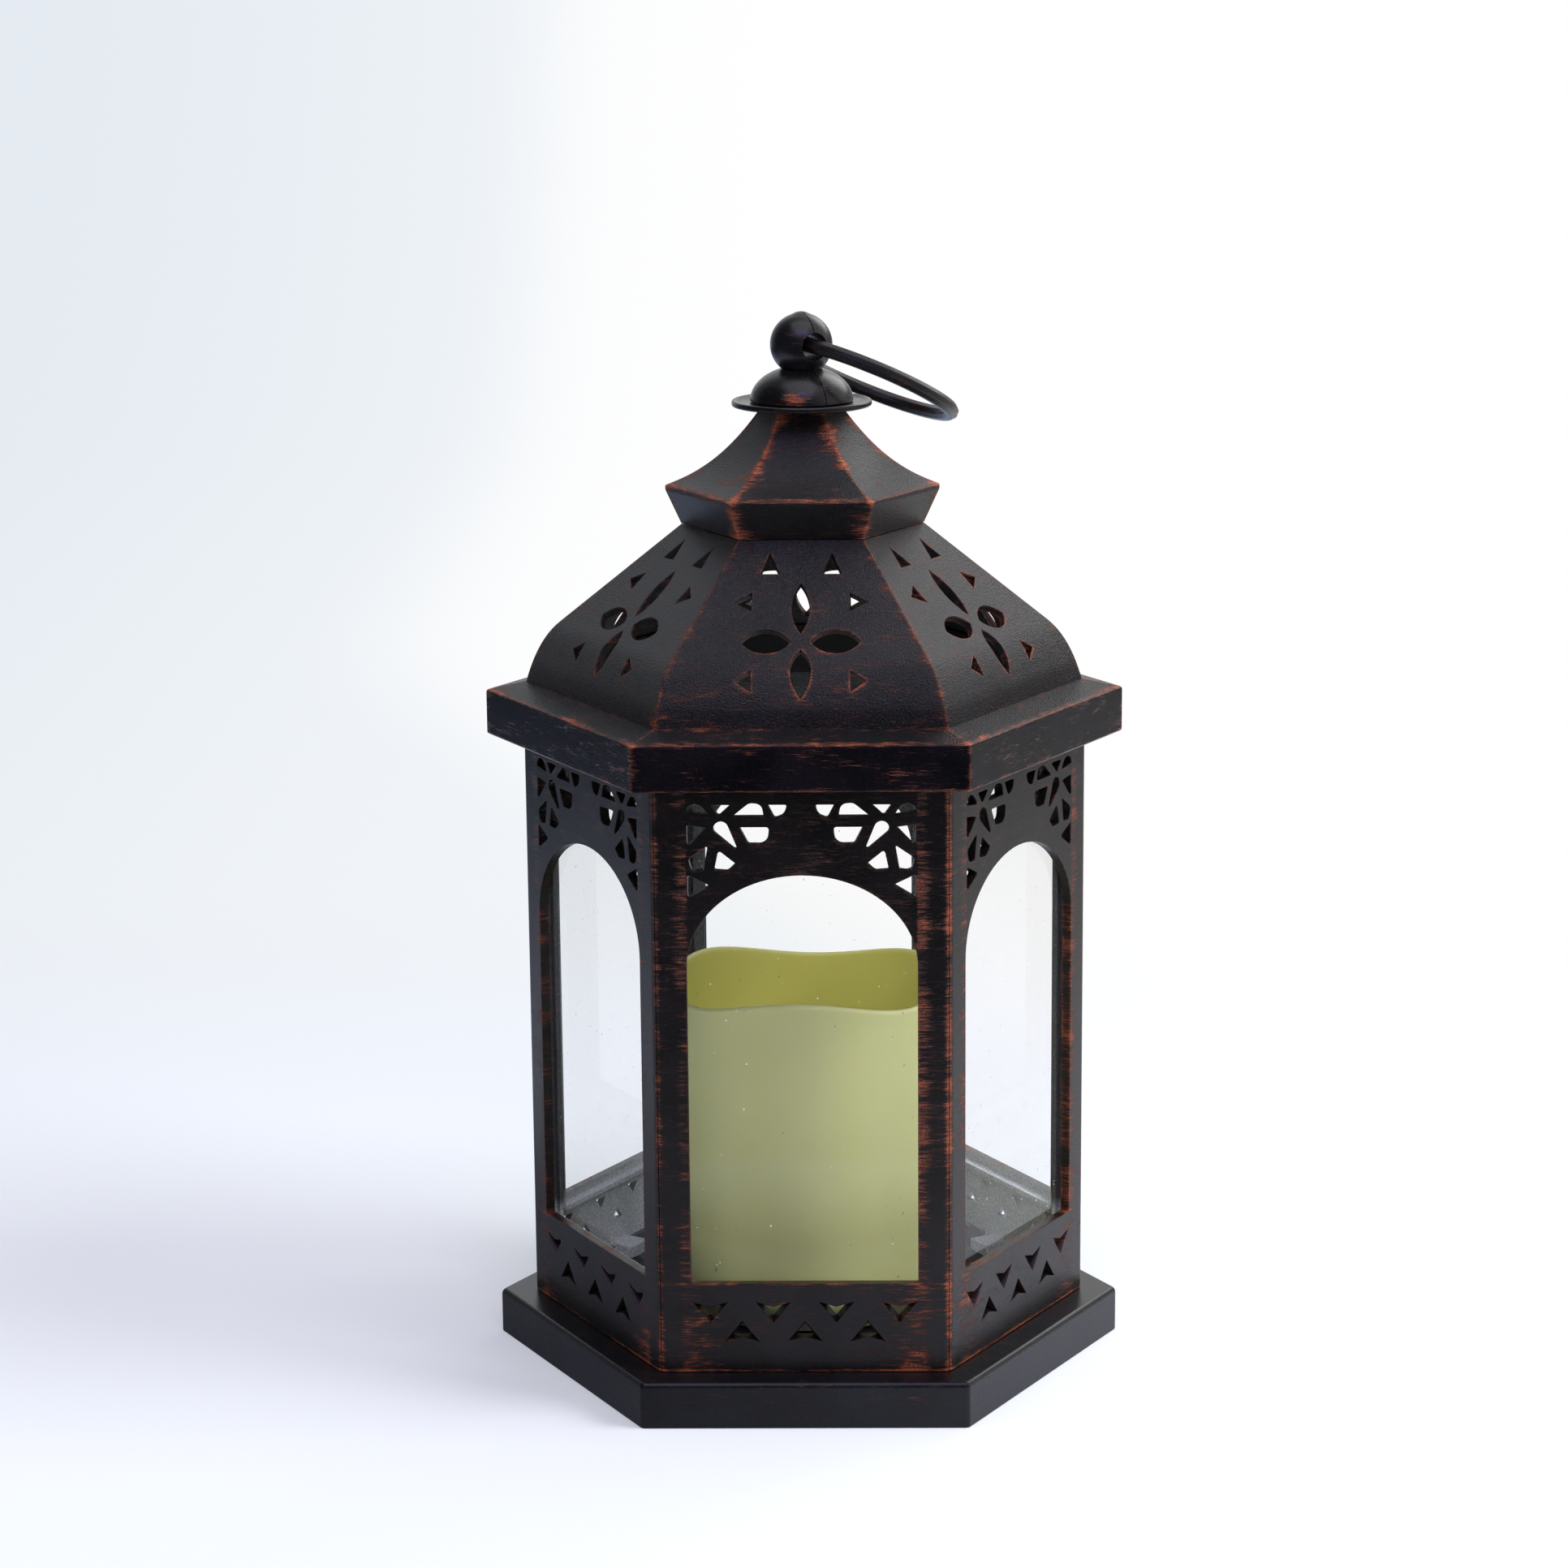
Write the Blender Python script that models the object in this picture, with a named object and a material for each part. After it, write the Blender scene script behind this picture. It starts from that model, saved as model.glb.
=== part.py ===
"""Hexagonal hurricane lantern with a pierced roof and an electric pillar candle.

Six mitred side panels, each with an arched window, fretwork and a row of
arrowhead holes, stand on a hollow hexagonal plinth and carry a pierced roof,
a concave cap and a two-part ball finial that holds a swinging carry ring.
A battery candle stands inside and is served through a door underneath.

Run it with Blender: blender --background --python part.py
Units are metres, +Z is up, and the front panel faces -Y.  The origin is the
centre of the plinth's underside.
"""

import math

import bmesh
import bpy
from mathutils import Matrix, Vector

# Hexagonal sizes are corner radii: half of the width across opposite corners.
BODY_RADIUS = 0.0825

# Plinth
PLINTH_STEP = 0.0103
PLINTH_HEIGHT = 0.0135
PLINTH_PLATE = 0.0028
PLINTH_WALL = 0.0024
PLINTH_EDGE = 0.0017
PLINTH_RIB = 0.0016
PLINTH_RIB_LIFT = 0.0030
LIP_HEIGHT = 0.0030
LIP_WALL = 0.0018

# Side panels, with heights measured from one feature up to the next
PANEL_WALL = 0.0028
PANEL_EDGE = 0.0006
POST_WIDTH = 0.00905
SILL_HEIGHT = 0.0262
WINDOW_STRAIGHT = 0.0928
ARCH_RISE = 0.0263
FRET_RISE = 0.0202
TOP_RAIL = 0.0055
FRET_MIDDLE = 0.0080
ARROW_WIDTH = 0.0097
ARROW_HEIGHT = 0.0060
ARROW_NOTCH = 0.0014
ARROW_INNER = 0.54
ARROW_PITCH = 0.0179
ARROW_ROW_LOW = 0.0120
ARROW_ROW_HIGH = 0.0177

# Glazing and the channels that hold it
PANE_THICKNESS = 0.0013
PANE_OVERLAP = 0.0020
CHANNEL_WALL = 0.0014
CHANNEL_LIP = 0.0012

# Panel screws
SCREW_SHANK = 0.0014
SCREW_HEAD = 0.0027
SCREW_HEAD_DEPTH = 0.0018
SCREW_LENGTH = 0.0058
TAB_WIDTH = 0.0090
TAB_DEPTH = 0.0085
TAB_HEIGHT = 0.0034

# Roof
EAVE_OVERHANG = 0.0105
EAVE_HEIGHT = 0.0132
EAVE_EDGE = 0.0009
EAVE_PITCH = 0.0023
ROOF_WALL = 0.0020
SKIRT_SETBACK = 0.0013
KNEE_SETBACK = 0.0101
SKIRT_KNEE_RISE = 0.0176
SKIRT_FOOT_ANGLE = 74.0
ROOF_TOP_RADIUS = 0.0353
ROOF_RISE = 0.0285
DECK_WIDTH = 0.0063
RIB_WALL = 0.0020
RIB_DROP = 0.0085

# Roof piercings, on the slope of one roof face
FLOWER_HEIGHT = 0.0066
PETAL_SIDE_LENGTH = 0.0138
PETAL_SIDE_WIDTH = 0.0081
PETAL_TOP_LENGTH = 0.0174
PETAL_TOP_WIDTH = 0.0050
PETAL_FOOT_LENGTH = 0.0149
PETAL_FOOT_WIDTH = 0.0059
PETAL_GAP = 0.0028
DART_WIDTH = 0.0063
DART_LENGTH = 0.0049
DART_SPREAD = 0.0137
DART_UPPER_RISE = 0.0137
DART_LOWER_DROP = 0.0128
CREST_WIDTH = 0.0053
CREST_HEIGHT = 0.0072
CREST_SPREAD = 0.0087
CREST_RISE = 0.0237

# Cap
CAP_FLARE = 0.0044
CAP_BAND_HEIGHT = 0.0099
CAP_RIM_EDGE = 0.0013
CAP_TOP_RADIUS = 0.0117
CAP_RISE = 0.0225
CAP_FLARE_ANGLE = 18.6
CAP_FLARE_PULL = 0.60
CAP_NECK_ANGLE = 54.2
CAP_NECK_PULL = 0.55
CAP_WALL = 0.0020
CAP_SPIGOT_DEPTH = 0.0050

# Finial and carry ring
DISC_RADIUS = 0.0202
DISC_THICKNESS = 0.0011
DISC_RIM = 0.0006
DOME_RADIUS = 0.0149
DOME_HEIGHT = 0.0101
NECK_RADIUS = 0.0058
BALL_RADIUS = 0.0090
BALL_NUB = 0.0004
BALL_NUB_RADIUS = 0.0010
HOLE_RADIUS = 0.0038
FINIAL_SEAM = 0.0003
FINIAL_AZIMUTH = 29.0
FINIAL_SCREW_OFFSET = 0.0058
FINIAL_SCREW_DEPTH = 0.0046
RING_RADIUS = 0.0261
RING_WIRE = 0.0020
RING_DROOP = 26.7
RING_AZIMUTH = 33.0

# Candle
CANDLE_RADIUS = 0.0402
CANDLE_HEIGHT = 0.0964
CANDLE_WALL = 0.0030
CANDLE_RIM = 0.0022
WELL_DEPTH = 0.0220
WELL_FLOOR = 0.0022
RIM_WAVE = 0.0027
RIM_WAVES = 3
RIM_TURN = 9.0
LED_RADIUS = 0.0025
LED_HEIGHT = 0.0080
BOARD_RADIUS = 0.0110
BOARD_THICKNESS = 0.0016
LEAD_RADIUS = 0.0007
LEAD_SPREAD = 0.0050

# Candle base, battery bay and switch
BORE_MARGIN = 0.0014
FLANGE_OVERLAP = 0.0077
FLANGE_THICKNESS = 0.0020
SPIGOT_WALL = 0.0018
SPIGOT_HEIGHT = 0.0120
CANDLE_SCREW_INSET = 0.0040
BATTERY_RADIUS = 0.00525
BATTERY_LENGTH = 0.0445
BATTERY_NUB = 0.0019
BATTERY_NUB_LENGTH = 0.0008
BATTERY_PITCH = 0.0119
BAY_END_ROOM = 0.0036
BAY_WALL = 0.0016
BAY_LIFT = 0.0016
CONTACT_THICKNESS = 0.0004
DOOR_THICKNESS = 0.0020
DOOR_PIN_RADIUS = 0.0008
SWITCH_OFFSET = 0.0285
SWITCH_LENGTH = 0.0100
SWITCH_WIDTH = 0.0050
SWITCH_DEPTH = 0.0040
SWITCH_TRAVEL = 0.0030
KNOB_LENGTH = 0.0030
KNOB_WIDTH = 0.0026
KNOB_HEIGHT = 0.0024
COLLAR_WALL = 0.0012

# Clearances
GAP = 0.0003
EMBED = 0.0002
CUT_OVER = 0.0010
WELD = 0.00005

# Heights and half widths that follow from the sizes above
COS30 = math.cos(math.radians(30))
SIN30 = 0.5
SIDES = 6
ROUND = 32
SCREW_SIDES = 6
FINIAL_SIDES = 24
PANEL_FOOT = PLINTH_HEIGHT + GAP
SPRING_Z = PANEL_FOOT + SILL_HEIGHT + WINDOW_STRAIGHT
SILL_Z = PANEL_FOOT + SILL_HEIGHT
FRET_TOP_Z = SPRING_Z + ARCH_RISE + FRET_RISE
EAVE_Z = FRET_TOP_Z + TOP_RAIL
EAVE_TOP_Z = EAVE_Z + EAVE_HEIGHT
SKIRT_FOOT_Z = EAVE_TOP_Z + EAVE_PITCH
KNEE_Z = SKIRT_FOOT_Z + SKIRT_KNEE_RISE
ROOF_TOP_Z = KNEE_Z + ROOF_RISE
CAP_FOOT_Z = ROOF_TOP_Z + GAP
CAP_RIM_Z = CAP_FOOT_Z + CAP_BAND_HEIGHT + CAP_RIM_EDGE
CAP_TOP_Z = CAP_RIM_Z + CAP_RISE
DISC_Z = CAP_TOP_Z + GAP
FINIAL_Z = DISC_Z + DISC_THICKNESS + GAP
PLINTH_RADIUS = BODY_RADIUS + PLINTH_STEP
EAVE_RADIUS = BODY_RADIUS + EAVE_OVERHANG
SKIRT_FOOT_RADIUS = BODY_RADIUS - SKIRT_SETBACK
SKIRT_KNEE_RADIUS = SKIRT_FOOT_RADIUS - KNEE_SETBACK
DECK_RADIUS = ROOF_TOP_RADIUS - DECK_WIDTH
CAP_RIM_RADIUS = ROOF_TOP_RADIUS + CAP_FLARE
HALF_WINDOW = BODY_RADIUS / 2 - POST_WIDTH
BODY_APOTHEM = BODY_RADIUS * COS30
INNER_APOTHEM = BODY_APOTHEM - PANEL_WALL
PANE_FACE = INNER_APOTHEM - GAP
PANE_BACK = PANE_FACE - PANE_THICKNESS
CANDLE_FOOT_Z = PLINTH_HEIGHT + GAP
CANDLE_BORE = CANDLE_RADIUS - CANDLE_WALL
SPIGOT_RADIUS = CANDLE_BORE - GAP
PLINTH_BORE = SPIGOT_RADIUS + BORE_MARGIN
FLANGE_RADIUS = PLINTH_BORE + FLANGE_OVERLAP
CANDLE_SCREW_RADIUS = PLINTH_BORE + CANDLE_SCREW_INSET
PLATE_UNDER = PLINTH_HEIGHT - PLINTH_PLATE
FLANGE_TOP = PLATE_UNDER - GAP
FLANGE_UNDER = FLANGE_TOP - FLANGE_THICKNESS
BAY_LENGTH = BATTERY_LENGTH + 2 * BAY_END_ROOM
BAY_WIDTH = 3 * BATTERY_PITCH
DOOR_UNDER = BAY_LIFT + GAP
BATTERY_Z = DOOR_UNDER + DOOR_THICKNESS + 4 * GAP + BATTERY_RADIUS
BAY_CEILING = BATTERY_Z + BATTERY_RADIUS + GAP
WELL_FLOOR_Z = CANDLE_FOOT_Z + CANDLE_HEIGHT - WELL_DEPTH
TAB_APOTHEM = INNER_APOTHEM - TAB_DEPTH / 2
NECK_RISE = DOME_HEIGHT * math.sqrt(1 - (NECK_RADIUS / DOME_RADIUS) ** 2)
BALL_Z = FINIAL_Z + NECK_RISE + math.sqrt(BALL_RADIUS ** 2 - NECK_RADIUS ** 2)
RING_OFFSET = RING_WIRE / 3

FACE_NAMES = ("front", "front_right", "back_right", "back", "back_left", "front_left")


def clear_scene():
    """Remove whatever the file holds."""
    for obj in list(bpy.data.objects):
        bpy.data.objects.remove(obj, do_unlink=True)


def finish_material(name, colour, roughness, metallic=0.0, transmission=0.0):
    """Principled material with a plain colour."""
    material = bpy.data.materials.new(name)
    material.use_nodes = True
    shader = material.node_tree.nodes["Principled BSDF"]
    shader.inputs["Base Color"].default_value = (*colour, 1.0)
    shader.inputs["Roughness"].default_value = roughness
    shader.inputs["Metallic"].default_value = metallic
    shader.inputs["Transmission Weight"].default_value = transmission
    material.diffuse_color = (*colour, 1.0)
    return material


def add_object(name, bm, material, smooth=False):
    """Turn a bmesh into a named object with outward faces."""
    bmesh.ops.remove_doubles(bm, verts=bm.verts, dist=1e-6)
    bmesh.ops.recalc_face_normals(bm, faces=bm.faces)
    mesh = bpy.data.meshes.new(name)
    bm.to_mesh(mesh)
    bm.free()
    return link_mesh(name, mesh, material, smooth)


def link_mesh(name, mesh, material, smooth=False):
    """Place a mesh in the scene under a name, with its material."""
    obj = bpy.data.objects.new(name, mesh)
    bpy.context.scene.collection.objects.link(obj)
    if material is not None and not mesh.materials:
        mesh.materials.append(material)
    if smooth:
        mesh.shade_smooth()
        mesh.set_sharp_from_angle(angle=math.radians(35))
    return obj


def combine(target, bm, operation):
    """Apply an exact Boolean of the target with the closed bodies in a bmesh."""
    tool = add_object(target.name + "_tool", bm, None)
    modifier = target.modifiers.new(operation.title(), "BOOLEAN")
    modifier.operation = operation
    modifier.solver = "EXACT"
    modifier.object = tool
    depsgraph = bpy.context.evaluated_depsgraph_get()
    mesh = bpy.data.meshes.new_from_object(target.evaluated_get(depsgraph))
    target.modifiers.clear()
    bm = bmesh.new()
    bm.from_mesh(mesh)
    bmesh.ops.remove_doubles(bm, verts=bm.verts, dist=WELD)
    bmesh.ops.dissolve_degenerate(bm, edges=bm.edges, dist=WELD / 5)
    bmesh.ops.triangulate(bm, faces=bm.faces)
    bm.to_mesh(mesh)
    bm.free()
    old = target.data
    target.data = mesh
    mesh.name = target.name
    bpy.data.meshes.remove(old)
    bpy.data.objects.remove(tool, do_unlink=True)


def cut(target, bm):
    """Take the bodies of a bmesh out of the target."""
    combine(target, bm, "DIFFERENCE")


def join(target, bm):
    """Fuse the bodies of a bmesh to the target."""
    combine(target, bm, "UNION")


def bisect(target, point, normal):
    """Keep the side of the target that the normal points away from, closed again."""
    bm = bmesh.new()
    bm.from_mesh(target.data)
    geometry = bm.verts[:] + bm.edges[:] + bm.faces[:]
    sliced = bmesh.ops.bisect_plane(bm, geom=geometry, dist=1e-7, plane_co=point,
                                    plane_no=normal, clear_outer=True)
    rim = [item for item in sliced["geom_cut"] if isinstance(item, bmesh.types.BMEdge)]
    bmesh.ops.holes_fill(bm, edges=rim, sides=0)
    bmesh.ops.remove_doubles(bm, verts=bm.verts, dist=WELD)
    bmesh.ops.triangulate(bm, faces=bm.faces)
    bmesh.ops.recalc_face_normals(bm, faces=bm.faces)
    bm.to_mesh(target.data)
    bm.free()


def add_loft(bm, rings):
    """Closed body through rings of points that all have the same count."""
    loops = [[bm.verts.new(point) for point in ring] for ring in rings]
    count = len(loops[0])
    for low, high in zip(loops, loops[1:]):
        for i in range(count):
            j = (i + 1) % count
            bm.faces.new((low[i], low[j], high[j], high[i]))
    bm.faces.new(loops[0][::-1])
    bm.faces.new(loops[-1])


def add_prism(bm, outline, start, end, place):
    """Closed prism: (u, v) points swept from one depth to another by a placing rule."""
    add_loft(bm, [[place(u, v, depth) for u, v in outline] for depth in (start, end)])


def add_box(bm, low, high):
    """Closed box between two corners."""
    outline = ((low[0], low[1]), (high[0], low[1]), (high[0], high[1]), (low[0], high[1]))
    add_prism(bm, outline, low[2], high[2], upright)


def add_turned(bm, profile, sides, closed=False, turn=0.0):
    """Spin a profile of (radius, z) points about the Z axis, with its flat ends in one face."""
    angle = math.radians(turn)
    verts = [bm.verts.new((r * math.cos(angle), r * math.sin(angle), z)) for r, z in profile]
    edges = [bm.edges.new(pair) for pair in zip(verts, verts[1:])]
    if closed:
        edges.append(bm.edges.new((verts[-1], verts[0])))
    bmesh.ops.spin(bm, geom=verts + edges, cent=(0, 0, 0), axis=(0, 0, 1),
                   angle=math.tau, steps=sides, use_merge=True)
    bmesh.ops.remove_doubles(bm, verts=bm.verts, dist=1e-6)
    bm.normal_update()
    poles = [v for v in bm.verts if v.co.xy.length < WELD and len(v.link_faces) == sides
             and all(abs(f.normal.z) > 0.9999 for f in v.link_faces)]
    bmesh.ops.dissolve_verts(bm, verts=poles)


def add_cylinder(bm, centre, radius, low, high, sides=12, direction=None):
    """Closed cylinder, upright or along a direction, between two distances from a centre."""
    matrix = Matrix.Translation(centre)
    if direction is not None:
        tilt = Vector((0, 0, 1)).rotation_difference(Vector(direction))
        matrix = matrix @ tilt.to_matrix().to_4x4()
    ring = circle(radius, sides)
    add_prism(bm, ring, low, high, lambda u, v, depth: matrix @ Vector((u, v, depth)))


def circle(radius, sides):
    """Points round a circle."""
    return [(radius * math.cos(math.tau * i / sides), radius * math.sin(math.tau * i / sides))
            for i in range(sides)]


def upright(u, v, depth):
    """Placing rule for outlines in the XY plane swept along Z."""
    return Vector((u, v, depth))


def front_face(u, v, depth):
    """Placing rule for outlines on the front panel: u across, v up, depth from the axis."""
    return Vector((u, -depth, v))


def bezier(start, first, second, end, steps):
    """Points on a cubic curve, both ends included."""
    points = []
    for i in range(steps + 1):
        t = i / steps
        weights = ((1 - t) ** 3, 3 * t * (1 - t) ** 2, 3 * t * t * (1 - t), t ** 3)
        points.append(tuple(sum(w * p[axis] for w, p in zip(weights, (start, first, second, end)))
                            for axis in (0, 1)))
    return points


def step_from(point, angle, length):
    """The point at a length along an angle, in degrees up from outward."""
    return (point[0] + length * math.cos(math.radians(angle)),
            point[1] + length * math.sin(math.radians(angle)))


def offset_inward(points, distance):
    """Mitred offset of an open polyline, to its left."""
    moved = []
    for i, point in enumerate(points):
        directions = []
        if i > 0:
            directions.append(Vector(point) - Vector(points[i - 1]))
        if i < len(points) - 1:
            directions.append(Vector(points[i + 1]) - Vector(point))
        normals = [Vector((-d.y, d.x)).normalized() for d in directions]
        mean = sum(normals, Vector((0, 0))).normalized()
        moved.append(tuple(Vector(point) + mean * distance / mean.dot(normals[0])))
    return moved


def hex_shell(points, wall):
    """Closed profile, in corner radii, of a hexagonal shell with an even wall."""
    outer = [(r * COS30, z) for r, z in points]
    inner = offset_inward(outer, wall)
    return [(a / COS30, z) for a, z in outer + inner[::-1]]


def filleted(corners):
    """Outline through (u, v, radius) corners, with the larger radii rounded."""
    outline = []
    count = len(corners)
    for i, (u, v, radius) in enumerate(corners):
        here = Vector((u, v))
        before = Vector(corners[i - 1][:2]) - here
        after = Vector(corners[(i + 1) % count][:2]) - here
        if radius < 0.00045:
            outline.append((u, v))
            continue
        half = before.angle(after) / 2
        reach = min(radius / math.tan(half), before.length * 0.45, after.length * 0.45)
        radius = reach * math.tan(half)
        middle = (before.normalized() + after.normalized()).normalized()
        centre = here + middle * radius / math.sin(half)
        start = here + before.normalized() * reach - centre
        end = here + after.normalized() * reach - centre
        steps = 2 if radius > 0.0014 else 1
        for k in range(steps + 1):
            arm = start.lerp(end, k / steps).normalized() * radius
            outline.append(tuple(centre + arm))
    return outline


def teardrop(head, head_radius, tip, tip_radius):
    """Outline round a large and a small circle, with straight sides between them."""
    along = Vector(tip) - Vector(head)
    heading = math.atan2(along.y, along.x)
    flare = math.acos((head_radius - tip_radius) / along.length)
    outline = []
    for centre, radius, start, end, steps in (
            (head, head_radius, flare, math.tau - flare, 5),
            (tip, tip_radius, -flare, flare, 1)):
        for k in range(steps + 1):
            angle = heading + start + (end - start) * k / steps
            outline.append((centre[0] + radius * math.cos(angle),
                            centre[1] + radius * math.sin(angle)))
    return outline


# The fretwork motif of one upper corner, drawn on a field of this size.  Each
# hole is a list of corners: across from the post, down from the top, radius.
FRET_FIELD_WIDTH = 0.0303
FRET_FIELD_HEIGHT = 0.0500
FRET_HOLES = (
    ((0.0003, 0.0024, 0), (0.0011, 0.0006, 0), (0.0028, -0.0003, 0), (0.0046, 0.0003, 0),
     (0.0059, 0.0017, 0), (0.0070, 0.0034, 0)),
    ((0.0076, 0.0001, 0), (0.0139, 0.0001, 0), (0.0101, 0.0036, 0.0006)),
    ((0.0140, 0.0037, 0), (0.0192, -0.0005, 0.0026), (0.0228, -0.0001, 0.0026), (0.0235, 0.0037, 0)),
    ((0.0246, 0.0001, 0), (0.0304, 0.0001, 0.0005), (0.0296, 0.0033, 0.0026), (0.0268, 0.0043, 0.0007)),
    ((0.0006, 0.0062, 0), (0.0064, 0.0070, 0), (0.0012, 0.0125, 0), (0.0006, 0.0119, 0)),
    ((0.0162, 0.0069, 0), (0.0250, 0.0069, 0.0008), (0.0245, 0.0122, 0.0032), (0.0189, 0.0121, 0.0008)),
    ((0.0067, 0.0125, 0), (0.0054, 0.0201, 0.0006), (0.0019, 0.0205, 0.0018), (0.0009, 0.0165, 0.0015)),
    ((0.0099, 0.0139, 0.0006), (0.0151, 0.0181, 0), (0.0127, 0.0204, 0.0016), (0.0086, 0.0201, 0.0005)),
    ((0.0006, 0.0215, 0), (0.0073, 0.0247, 0.0005), (0.0012, 0.0284, 0), (0.0006, 0.0278, 0)),
)
FRET_DROP_HEAD = (0.0107, 0.0073)
FRET_DROP_HEAD_RADIUS = 0.0022
FRET_DROP_TIP = (0.0149, 0.0131)
FRET_DROP_TIP_RADIUS = 0.0005


def arch_outline():
    """Window opening: straight jambs under a half ellipse."""
    steps = 16
    outline = [(-HALF_WINDOW, SILL_Z), (HALF_WINDOW, SILL_Z)]
    for i in range(steps + 1):
        angle = math.pi * i / steps
        outline.append((HALF_WINDOW * math.cos(angle), SPRING_Z + ARCH_RISE * math.sin(angle)))
    return outline


def fret_outlines():
    """Holes of both upper corners, fitted between the window's sides, its spring and the rail."""
    stretch = (HALF_WINDOW - FRET_MIDDLE / 2) / FRET_FIELD_WIDTH
    drop = (ARCH_RISE + FRET_RISE) / FRET_FIELD_HEIGHT
    holes = [filleted(corners) for corners in FRET_HOLES]
    holes.append(teardrop(FRET_DROP_HEAD, FRET_DROP_HEAD_RADIUS, FRET_DROP_TIP, FRET_DROP_TIP_RADIUS))
    outlines = []
    for hole in holes:
        left = [(-HALF_WINDOW + u * stretch, FRET_TOP_Z - v * drop) for u, v in hole]
        outlines.append(left)
        outlines.append([(-u, v) for u, v in left[::-1]])
    return outlines


def arrow_holes():
    """Outer arrowhead and inner triangle of each hole in the lower rail."""
    holes = []
    for row_z, count, point in ((ARROW_ROW_HIGH, 4, -1), (ARROW_ROW_LOW, 3, 1)):
        for i in range(count):
            u = (i - (count - 1) / 2) * ARROW_PITCH
            v = PANEL_FOOT + row_z
            half = ARROW_WIDTH / 2
            height = ARROW_HEIGHT / 2
            outer = ((-half, -height), (0, -height + ARROW_NOTCH), (half, -height), (0, height))
            small = ARROW_INNER
            inner = ((-half * small, -height * small), (0, -height * small),
                     (half * small, -height * small), (0, height * small))
            holes.append([[(u + x, v + y * point) for x, y in ring] for ring in (outer, inner)])
    return holes


def make_side_panels(material):
    """Six mitred panels that share one mesh, front one first."""
    def half_width(apothem):
        return apothem * math.tan(math.radians(30)) - GAP / 2 / COS30

    outer = half_width(BODY_APOTHEM)
    soft = PANEL_EDGE * SIN30
    section = [(-outer + PANEL_EDGE, -BODY_APOTHEM), (outer - PANEL_EDGE, -BODY_APOTHEM),
               (outer - soft / 2, -BODY_APOTHEM + soft),
               (half_width(INNER_APOTHEM), -INNER_APOTHEM),
               (-half_width(INNER_APOTHEM), -INNER_APOTHEM),
               (-outer + soft / 2, -BODY_APOTHEM + soft)]
    bm = bmesh.new()
    add_prism(bm, section, PANEL_FOOT, panel_top(), upright)
    panel = add_object("side_panel_front", bm, material)

    cutters = bmesh.new()
    through = (INNER_APOTHEM - CUT_OVER, BODY_APOTHEM + CUT_OVER)
    add_prism(cutters, arch_outline(), *through, front_face)
    for outline in fret_outlines():
        add_prism(cutters, outline, *through, front_face)
    for outer_ring, inner_ring in arrow_holes():
        add_loft(cutters, [[front_face(u, v, depth) for u, v in ring] for ring, depth in
                           ((inner_ring, INNER_APOTHEM - CUT_OVER), (inner_ring, INNER_APOTHEM),
                            (outer_ring, BODY_APOTHEM), (outer_ring, BODY_APOTHEM + CUT_OVER))])
    cut(panel, cutters)

    backing = bmesh.new()
    lip = PANE_BACK - GAP
    edge = HALF_WINDOW + PANE_OVERLAP + GAP
    ledge = SILL_Z - PANE_OVERLAP - GAP
    wall_depth = (lip - CHANNEL_LIP, INNER_APOTHEM + EMBED)
    for side in (-1, 1):
        channel = [(edge - PANE_OVERLAP, wall_depth[0]), (edge + CHANNEL_WALL, wall_depth[0]),
                   (edge + CHANNEL_WALL, wall_depth[1]), (edge, wall_depth[1]), (edge, lip),
                   (edge - PANE_OVERLAP, lip)]
        add_prism(backing, [(side * u, -d) for u, d in channel][::side],
                  ledge - CHANNEL_WALL, rib_foot() - GAP, upright)
    shelf = edge - GAP
    add_box(backing, (-shelf, -wall_depth[1], ledge - CHANNEL_WALL), (shelf, -wall_depth[0], ledge))
    add_box(backing, (-TAB_WIDTH / 2, -INNER_APOTHEM - EMBED, PANEL_FOOT),
            (TAB_WIDTH / 2, -INNER_APOTHEM + TAB_DEPTH, PANEL_FOOT + TAB_HEIGHT))
    join(panel, backing)

    pilot = bmesh.new()
    add_cylinder(pilot, (0, -TAB_APOTHEM, 0), SCREW_SHANK + GAP, PANEL_FOOT - CUT_OVER,
                 PLATE_UNDER + SCREW_LENGTH, 8)
    cut(panel, pilot)
    return repeat_round(panel, "side_panel_")


def panel_top():
    """Height at which a panel meets the underside of the eave."""
    slope = EAVE_PITCH / ((EAVE_RADIUS - SKIRT_FOOT_RADIUS) * COS30)
    underside = EAVE_TOP_Z + slope * (EAVE_RADIUS * COS30 - BODY_APOTHEM)
    return underside - ROOF_WALL * math.hypot(1, slope) - GAP


def rib_foot():
    """Height of the lower edge of the roof's locating rib, over the panes."""
    return EAVE_TOP_Z - RIB_DROP


def repeat_round(front, prefix):
    """Copies of the front piece on the other five faces."""
    pieces = [front]
    for k in range(1, SIDES):
        piece = bpy.data.objects.new(prefix + FACE_NAMES[k], front.data)
        bpy.context.scene.collection.objects.link(piece)
        piece.rotation_euler.z = math.radians(60 * k)
        pieces.append(piece)
    return pieces


def make_panes(material):
    """Six glass panes, one behind each panel, with their corners nipped."""
    half = HALF_WINDOW + PANE_OVERLAP
    low = SILL_Z - PANE_OVERLAP
    high = rib_foot() - GAP
    nip = PANE_OVERLAP / 2
    outline = [(-half + nip, low), (half - nip, low), (half, low + nip), (half, high - nip),
               (half - nip, high), (-half + nip, high), (-half, high - nip), (-half, low + nip)]
    bm = bmesh.new()
    add_prism(bm, outline, PANE_BACK, PANE_FACE, front_face)
    return repeat_round(add_object("pane_front", bm, material), "pane_")


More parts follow.
